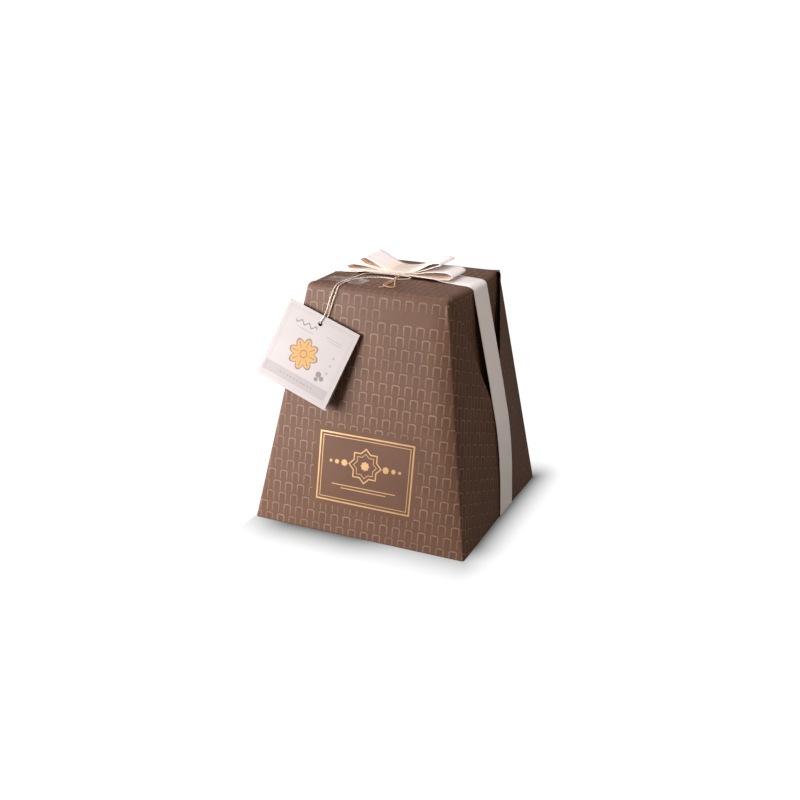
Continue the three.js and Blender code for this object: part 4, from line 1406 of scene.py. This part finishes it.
def build_tape(sizes, material):
    lay = Lay(sizes)
    box = lay.box
    turn = Matrix.Translation((TAPE["x"], TAPE["y"], 0)) @ Matrix.Rotation(TAPE["turn"], 4, "Z")
    along, across = TAPE_STEPS
    strands = [
        p for p in catmull(lay.route(), 12)
        if p.z > box.height - TOP_EDGE_R / 4 and p.y < -30 and p.x < -15
    ]

    def height_at(x, y):
        """The tape's height at a point: on the paper and its rounded edge, or over a strand."""
        near = min(math.hypot(x - s.x, y - s.y) for s in strands)
        lift = (2 * lay.r + GAP) * smooth((TENT_REACH - near) / TENT_RAMP)
        over = max(0.0, max(abs(x), abs(y)) - box.round_x)
        drop = TOP_EDGE_R - math.sqrt(TOP_EDGE_R**2 - over**2)
        return box.top_z(x, y) - drop + GAP + lift + TAPE_CREASE * noise_at(x / 7, y / 7, 4.0)

    rings = []
    for i in range(along + 1):
        ring = []
        for up, side in ((0.0, 1), (TAPE_T, -1)):
            for j in range(across + 1):
                v = (j / across - 0.5) * TAPE["width"] * side
                p = turn @ Vector(((i / along - 0.5) * TAPE["length"], v, 0))
                ring.append((p.x, p.y, height_at(p.x, p.y) + up))
        rings.append(ring)
    return mesh_object("clear_tape", flat_list(rings), strip_faces(rings), [material])


# ---- The card ----------------------------------------------------------------------

HOLE_SIDES = 40
LEAF_ROWS = 6  # rings of faces from the hole to the leaf's edge
LEAF_SPREAD = 1.5  # above 1 they are closer together at the hole
LEAF_GAP = 0.004  # keeps the two leaves' skins apart at the fold
# Rectangles on the card: across, up, half width, half height.
CARD_BAND = (-1.5, -28.0, 36.5, 5.2)
CARD_RULES = ((-13.0, 19.5, 10.0, 0.35), (19.0, 23.0, 9.0, 0.3), (21.0, 20.5, 7.0, 0.3))
CARD_FRAMES = ((36.4, 0.4), (34.6, 0.3))  # half side, line
# Stars: across, up, half side.
CARD_STARS = (
    *((x, CARD_BAND[1], 0.9) for x in range(-18, 19, 4)),
    *((26.0, up, 1.0) for up in (8.0, 0.0, -8.0)),
)
LEAF_MARK = ((19.0, -12.5, 2.4), (23.5, -15.0, 1.9), (18.5, -17.6, 1.7))
WAVE_AT = (-14.0, 25.0)
WAVE_LENGTH = 1.3  # of one radian
WAVE_RISE = 1.6
WAVE_HALF = (12.6, 12.0)  # its ends fade out over this
ROSETTE_AT = (-4.0, -2.0)
ROSETTE_WAIST = 10.5  # the rosette's radius between its petals
ROSETTE_PETAL = 5.0
ROSETTE_LINE = 0.8
ROSETTE_RING = 3.6


def wave_mask(make, art):
    """A wavy line."""
    x, y, _ = make.split(art.at(*WAVE_AT))
    off_wave = abs(y - make.math("SINE", x / WAVE_LENGTH) * WAVE_RISE)
    return off_wave.ramp(1.0, 0.5) * abs(x).ramp(*WAVE_HALF)


def rosette(make, art, picture, colours):
    """A flower of eight petals over a picture, with its outline, its veins and a ring."""
    x, y, _ = make.split(art.at(*ROSETTE_AT))
    reach = make.length_of(x, y)
    turned = make.math("ARCTAN2", y, x) * 4.0
    petal = abs(make.math("COSINE", turned))
    off_rim = reach - (petal * ROSETTE_PETAL + ROSETTE_WAIST)
    petals = off_rim.ramp(0.15, -0.15)
    outline = (abs(off_rim) - ROSETTE_LINE).ramp(0.3, -0.3)
    vein = abs(make.math("SINE", turned)).ramp(0.22, 0.12)
    vein = vein * reach.ramp(5.5, 6.5) * reach.ramp(13.0, 12.0)
    ring = (abs(reach - ROSETTE_RING) - 0.5).ramp(0.2, -0.2)
    pale_gold = [c * s for c, s in zip(colours.rosette, (0.95, 1.1, 1.5))]
    golden = make.mix(reach.ramp(2.0, 15.0), colours.rosette, pale_gold)
    lines = make.most(outline, ring, vein * petals)
    return make.mix(lines * 0.85, make.mix(petals, picture, golden), colours.rosette_line)


def card_print(colours):
    """The card's front: a thin frame, a band at the foot, small marks and a rosette."""
    material, make, finish = shader("printed card", Roughness=0.55)
    art = Artwork(make, make.attribute("card"))
    grain = fibre_grain(make, 1.2, 0.025)
    board = make.scaled(colours.card, grain["Tone"])
    picture = make.mix(art.filled(*CARD_BAND), board, colours.card_band)
    frames = [art.outline(half, half, line) for half, line in CARD_FRAMES]
    pale = [art.filled(*rule) for rule in CARD_RULES] + [art.star(*star) for star in CARD_STARS]
    dark = [wave_mask(make, art)] + [art.star(*star) for star in LEAF_MARK]
    for marks, strength, ink in (
        (frames, 0.5, colours.ink_pale),
        (pale, 0.6, colours.ink_pale),
        (dark, 0.8, colours.ink),
    ):
        picture = make.mix(make.most(*marks) * strength, picture, ink)
    finish(
        Base_Color=rosette(make, art, picture, colours),
        Normal=grain["Height"].bump(0.3, 0.00005),
    )
    return material


def card_board(colours):
    material, make, finish = shader("plain card", Roughness=0.6)
    grain = fibre_grain(make, 1.2, 0.03)
    finish(
        Base_Color=make.scaled(colours.card, grain["Tone"]),
        Normal=grain["Height"].bump(0.35, 0.00005),
    )
    return material


def leaf_points(side, more):
    """A flat leaf's points as (x, y), in rings from its hole to its edge and corners."""
    half = side / 2
    foot = -half - more
    points = []
    for r in range(LEAF_ROWS + 1):
        t = (r / LEAF_ROWS) ** LEAF_SPREAD
        for i in range(HOLE_SIDES):
            a = 2 * math.pi * (i + 0.5) / HOLE_SIDES
            dx, dy = math.cos(a), math.sin(a)
            far = math.inf
            for low, start, d in ((-half, HOLE_AT[0], dx), (foot, HOLE_AT[1], dy)):
                if abs(d) > 1e-9:
                    far = min(far, ((half if d > 0 else low) - start) / d)
            reach = lerp(HOLE_R, far, t)
            points.append((HOLE_AT[0] + dx * reach, HOLE_AT[1] + dy * reach))
    for corner in ((-half, foot), (half, foot), (half, half), (-half, half)):
        edge = range(LEAF_ROWS * HOLE_SIDES, len(points))
        nearest = min(edge, key=lambda i: math.dist(points[i], corner))
        points[nearest] = corner
    return points


def build_card(sizes, materials):
    side = mm(sizes.card_side)
    turn = card_frame(Box(sizes))
    vertices = []
    faces = []
    slots = []
    places = []
    for leaf in range(2):
        flat = leaf_points(side, BACK_LEAF_MORE * leaf)
        front = len(vertices)
        back = front + len(flat)
        for under in range(2):
            for x, y in flat:
                out = -CARD_T * (leaf + under)
                if leaf:
                    below = max(0.0, side / 2 - CARD_FOLD - y)
                    out -= below * math.tan(CARD_OPENING) + LEAF_GAP
                vertices.append(turn @ Vector((x, y, out)))
                places.append((x, y, out))
        for low in range(0, LEAF_ROWS * HOLE_SIDES, HOLE_SIDES):
            high = low + HOLE_SIDES
            for i in range(HOLE_SIDES):
                k = (i + 1) % HOLE_SIDES
                quad = (low + i, high + i, high + k, low + k)
                faces.append(tuple(front + p for p in quad))
                faces.append(tuple(back + p for p in quad[::-1]))
                slots.extend((leaf, 1))
        rim = LEAF_ROWS * HOLE_SIDES
        for i in range(HOLE_SIDES):
            k = (i + 1) % HOLE_SIDES
            faces.append((front + rim + k, front + rim + i, back + rim + i, back + rim + k))
            faces.append((front + i, front + k, back + k, back + i))
            slots.extend((1, 1))
    piece = mesh_object("hanging_card", vertices, faces, materials, slots)
    piece.data.set_sharp_from_angle(angle=math.radians(35))
    keep_vectors(piece, "card", places)
    return piece


# ---- The stage ---------------------------------------------------------------------

CAMERA_AT = (0.39884, -0.94251, 0.46462)
CAMERA_AZIMUTH = math.radians(23.168)
CAMERA_ELEVATION = math.radians(19.1884)
CAMERA_ROLL = math.radians(1.3285)
CAMERA_LENS = 47.09
CAMERA_SENSOR = 36.0
LAMPS_AIM = (0.0, 0.0, 0.12)
# Name, place, aim, sides, watts and tint.
LAMPS = (
    ("key", (-0.52, -0.54, 0.27), LAMPS_AIM, (0.45, 0.45), 12.0, (1.0, 0.985, 0.97)),
    ("top", (-0.1, 0.15, 1.3), LAMPS_AIM, (1.4, 1.4), 15.5, (1.0, 0.98, 1.0)),
    ("right", (0.9, -0.35, 0.6), LAMPS_AIM, (0.6, 0.6), 1.7, (1.0, 0.88, 0.72)),
)
BOW_LAMP = ("bow", (0.3, -0.6, 0.32), (0.0, 0.0, 0.25), (0.3, 0.3), 1.3, (1.0, 0.95, 0.92))
ROOM_TINT = (1.0, 0.93, 0.86, 1.0)
ROOM_LIGHT = 0.16
ROOM_SEEN = 1.2  # and it is this much brighter behind the pack, where it shows as white
FLOOR_REACH = 4.0
FLOOR_LIT = (0.22, 0.21, 0.2)  # the floor's colour to the light that it throws back
FLOOR_SEEN = (0.06, 0.06, 0.06)  # and to the camera, beside its own glow
FLOOR_GLOW = 1.0
SHADE_RIGHT = 0.037  # how far the painted shadow at the pack's foot reaches on each side
SHADE_LEFT = 0.008
SHADE_FRONT = 0.063
SHADE_DEPTH = 0.87
SHADE_POWER = 1.85
CORNER_SHADE = 0.57  # the share of it that is left at the front right corner
CORNER_FRONT = (-0.01, 0.05)  # the shade weakens over this stretch along the front
CORNER_SIDE = 0.04  # and over this one along the side
LEFT_SHADE = 0.35  # the share of it that is left past the front left corner
LEFT_RAMP = (-0.01, 0.04)  # which it comes down to over this stretch, from the corner


def camera():
    data = bpy.data.cameras.new("camera")
    data.lens = CAMERA_LENS
    data.sensor_width = CAMERA_SENSOR
    piece = bpy.data.objects.new("camera", data)
    bpy.context.scene.collection.objects.link(piece)
    az, el = CAMERA_AZIMUTH, CAMERA_ELEVATION
    back = Vector((math.sin(az) * math.cos(el), -math.cos(az) * math.cos(el), math.sin(el)))
    right = Vector((0, 0, 1)).cross(back).normalized()
    up = back.cross(right)
    turned_right = right * math.cos(CAMERA_ROLL) + up * math.sin(CAMERA_ROLL)
    turned_up = up * math.cos(CAMERA_ROLL) - right * math.sin(CAMERA_ROLL)
    turn = Matrix((turned_right, turned_up, back)).transposed().to_4x4()
    piece.matrix_world = Matrix.Translation(CAMERA_AT) @ turn
    bpy.context.scene.camera = piece


def lamp(name, stands_at, aim, sides, watts, tint):
    data = bpy.data.lights.new(f"{name} lamp", "AREA")
    data.shape = "RECTANGLE"
    data.size, data.size_y = sides
    data.energy = watts
    data.color = tint
    piece = bpy.data.objects.new(f"{name} lamp", data)
    piece.location = stands_at
    direction = Vector(aim) - Vector(stands_at)
    piece.rotation_euler = direction.to_track_quat("-Z", "Y").to_euler()
    bpy.context.scene.collection.objects.link(piece)
    return piece


def bow_lamp(bow):
    """A small warm lamp that only reaches the bow, whose loops would be dark inside without it."""
    lit = bpy.data.collections.new("lit by the bow lamp")
    lit.objects.link(bow)
    lamp(*BOW_LAMP).light_linking.receiver_collection = lit


def foot_shade(make, place_in, half):
    """How dark the floor is at a place: a soft painted shadow round the pack's foot."""
    x, y, _ = make.split(place_in)

    def past(value, reach):
        """How far a value is past the pack's edge, as a share of a reach."""
        return make.most((value - half) / reach, 0.0)

    across = past(x, SHADE_RIGHT) + past(x * -1.0, SHADE_LEFT)
    near = 1.0 - make.least(make.length_of(across, past(abs(y), SHADE_FRONT)), 1.0)
    in_front = x.ramp(*CORNER_FRONT, 1.0, CORNER_SHADE)
    beside = y.ramp(-half, -half + CORNER_SIDE, CORNER_SHADE, 1.0)
    at_left = x.ramp(-half + LEFT_RAMP[0], -half + LEFT_RAMP[1], LEFT_SHADE, 1.0)
    return near**SHADE_POWER * (make.most(in_front, beside) * at_left * SHADE_DEPTH)


def floor(sizes):
    """A pale floor that looks near white, with a soft shadow painted into its glow at the pack's
    foot.
    """
    material, make, finish = shader("pale floor", Roughness=0.9, Specular_IOR_Level=0.1)
    place_in = make.here()
    tone = make.noise(place_in, 3.0, 3.0).ramp(0.3, 0.7, 0.985, 1.0)
    seen = make.camera_ray()
    shade = foot_shade(make, place_in, sizes.base_side / 2)
    finish(
        Base_Color=make.scaled(make.mix(seen, FLOOR_LIT, FLOOR_SEEN), tone),
        # painted shadow: the floor's glow is dimmed round the pack's foot
        Emission_Color=seen * (FLOOR_GLOW - shade),
        Emission_Strength=1.0,
    )
    mesh = bpy.data.meshes.new("floor")
    r = FLOOR_REACH
    mesh.from_pydata([(-r, -r, 0), (r, -r, 0), (r, r, 0), (-r, r, 0)], [], [(0, 1, 2, 3)])
    mesh.materials.append(material)
    piece = bpy.data.objects.new("floor", mesh)
    bpy.context.scene.collection.objects.link(piece)


def world():
    """White behind the pack, and a dim soft light from all round."""
    data = bpy.data.worlds.new("studio")
    data.use_nodes = True
    make = Tree(data.node_tree)
    background = make.nodes["Background"].inputs
    make.feed(background["Color"], ROOM_TINT)
    make.feed(background["Strength"], ROOM_LIGHT + make.camera_ray() * ROOM_SEEN)
    bpy.context.scene.world = data


# ---- Operators ---------------------------------------------------------------------

class PACK_OT_stage(bpy.types.Operator):
    """Sets the floor, the lights, the world and the camera"""
    bl_idname = "pack.stage"
    bl_label = "Stage"

    def execute(self, context):
        camera()
        world()
        floor(context.scene.pack_sizes)
        for values in LAMPS:
            lamp(*values)
        context.scene.view_settings.view_transform = "Standard"
        return {"FINISHED"}


class PACK_OT_paper(bpy.types.Operator):
    """Wraps the tapered box in printed paper"""
    bl_idname = "pack.paper"
    bl_label = "Wrapped box"

    def execute(self, context):
        sizes = context.scene.pack_sizes
        paper = paper_material(context.scene.pack_colours, sizes)
        place(build_wrapped_box(sizes, paper), "wrapped_box", "wrapping_paper")
        return {"FINISHED"}


class PACK_OT_ribbon(bpy.types.Operator):
    """Ties the ribbon round the box and sets the bow on it"""
    bl_idname = "pack.ribbon"
    bl_label = "Ribbon and bow"

    def execute(self, context):
        sizes = context.scene.pack_sizes
        satin = satin_material(context.scene.pack_colours, sizes)
        place(build_band(sizes, satin), "ribbon_band", "ribbon")
        bow = build_bow(sizes, satin)
        place(bow, "ribbon_bow", "ribbon")
        bow_lamp(bow)
        return {"FINISHED"}


class PACK_OT_twine(bpy.types.Operator):
    """Leads the twisted twine from its knot through the card's hole and back"""
    bl_idname = "pack.twine"
    bl_label = "Twine"

    def execute(self, context):
        colours = context.scene.pack_colours
        threads = [
            thread_material("light thread", colours.twine_light),
            thread_material("dark thread", colours.twine_dark),
            thread_material("golden thread", colours.twine_gold),
        ]
        place(build_twine(context.scene.pack_sizes, threads), "twine", "twine")
        return {"FINISHED"}


class PACK_OT_tape(bpy.types.Operator):
    """Lays the clear tape over the twine's two strands"""
    bl_idname = "pack.tape"
    bl_label = "Clear tape"

    def execute(self, context):
        place(build_tape(context.scene.pack_sizes, tape_material()), "tape", "tape")
        return {"FINISHED"}


class PACK_OT_card(bpy.types.Operator):
    """Hangs the folded card on the twine"""
    bl_idname = "pack.card"
    bl_label = "Card"

    def execute(self, context):
        colours = context.scene.pack_colours
        materials = [card_print(colours), card_board(colours)]
        place(build_card(context.scene.pack_sizes, materials), "tag_card", "card")
        return {"FINISHED"}


class PACK_PT_panel(bpy.types.Panel):
    """Lists the pack's pieces and sizes"""
    bl_label = "Gift pack"
    bl_idname = "PACK_PT_panel"
    bl_space_type = "VIEW_3D"
    bl_region_type = "UI"
    bl_category = "Gift pack"

    def draw(self, context):
        for operator in OPERATORS:
            self.layout.operator(operator.bl_idname)
        for group in (context.scene.pack_sizes, context.scene.pack_colours):
            box = self.layout.box()
            for name in group.__annotations__:
                box.prop(group, name)


OPERATORS = (
    PACK_OT_stage, PACK_OT_paper, PACK_OT_ribbon, PACK_OT_twine, PACK_OT_tape, PACK_OT_card
)
CLASSES = (PackSizes, PackColours, *OPERATORS, PACK_PT_panel)


def register():
    for cls in CLASSES:
        bpy.utils.register_class(cls)
    bpy.types.Scene.pack_sizes = PointerProperty(type=PackSizes)
    bpy.types.Scene.pack_colours = PointerProperty(type=PackColours)


def unregister():
    del bpy.types.Scene.pack_colours
    del bpy.types.Scene.pack_sizes
    for cls in reversed(CLASSES):
        bpy.utils.unregister_class(cls)


def main():
    register()
    bpy.ops.pack.stage()
    bpy.ops.pack.paper()
    bpy.ops.pack.ribbon()
    bpy.ops.pack.twine()
    bpy.ops.pack.tape()
    bpy.ops.pack.card()


if __name__ == "__main__":
    main()
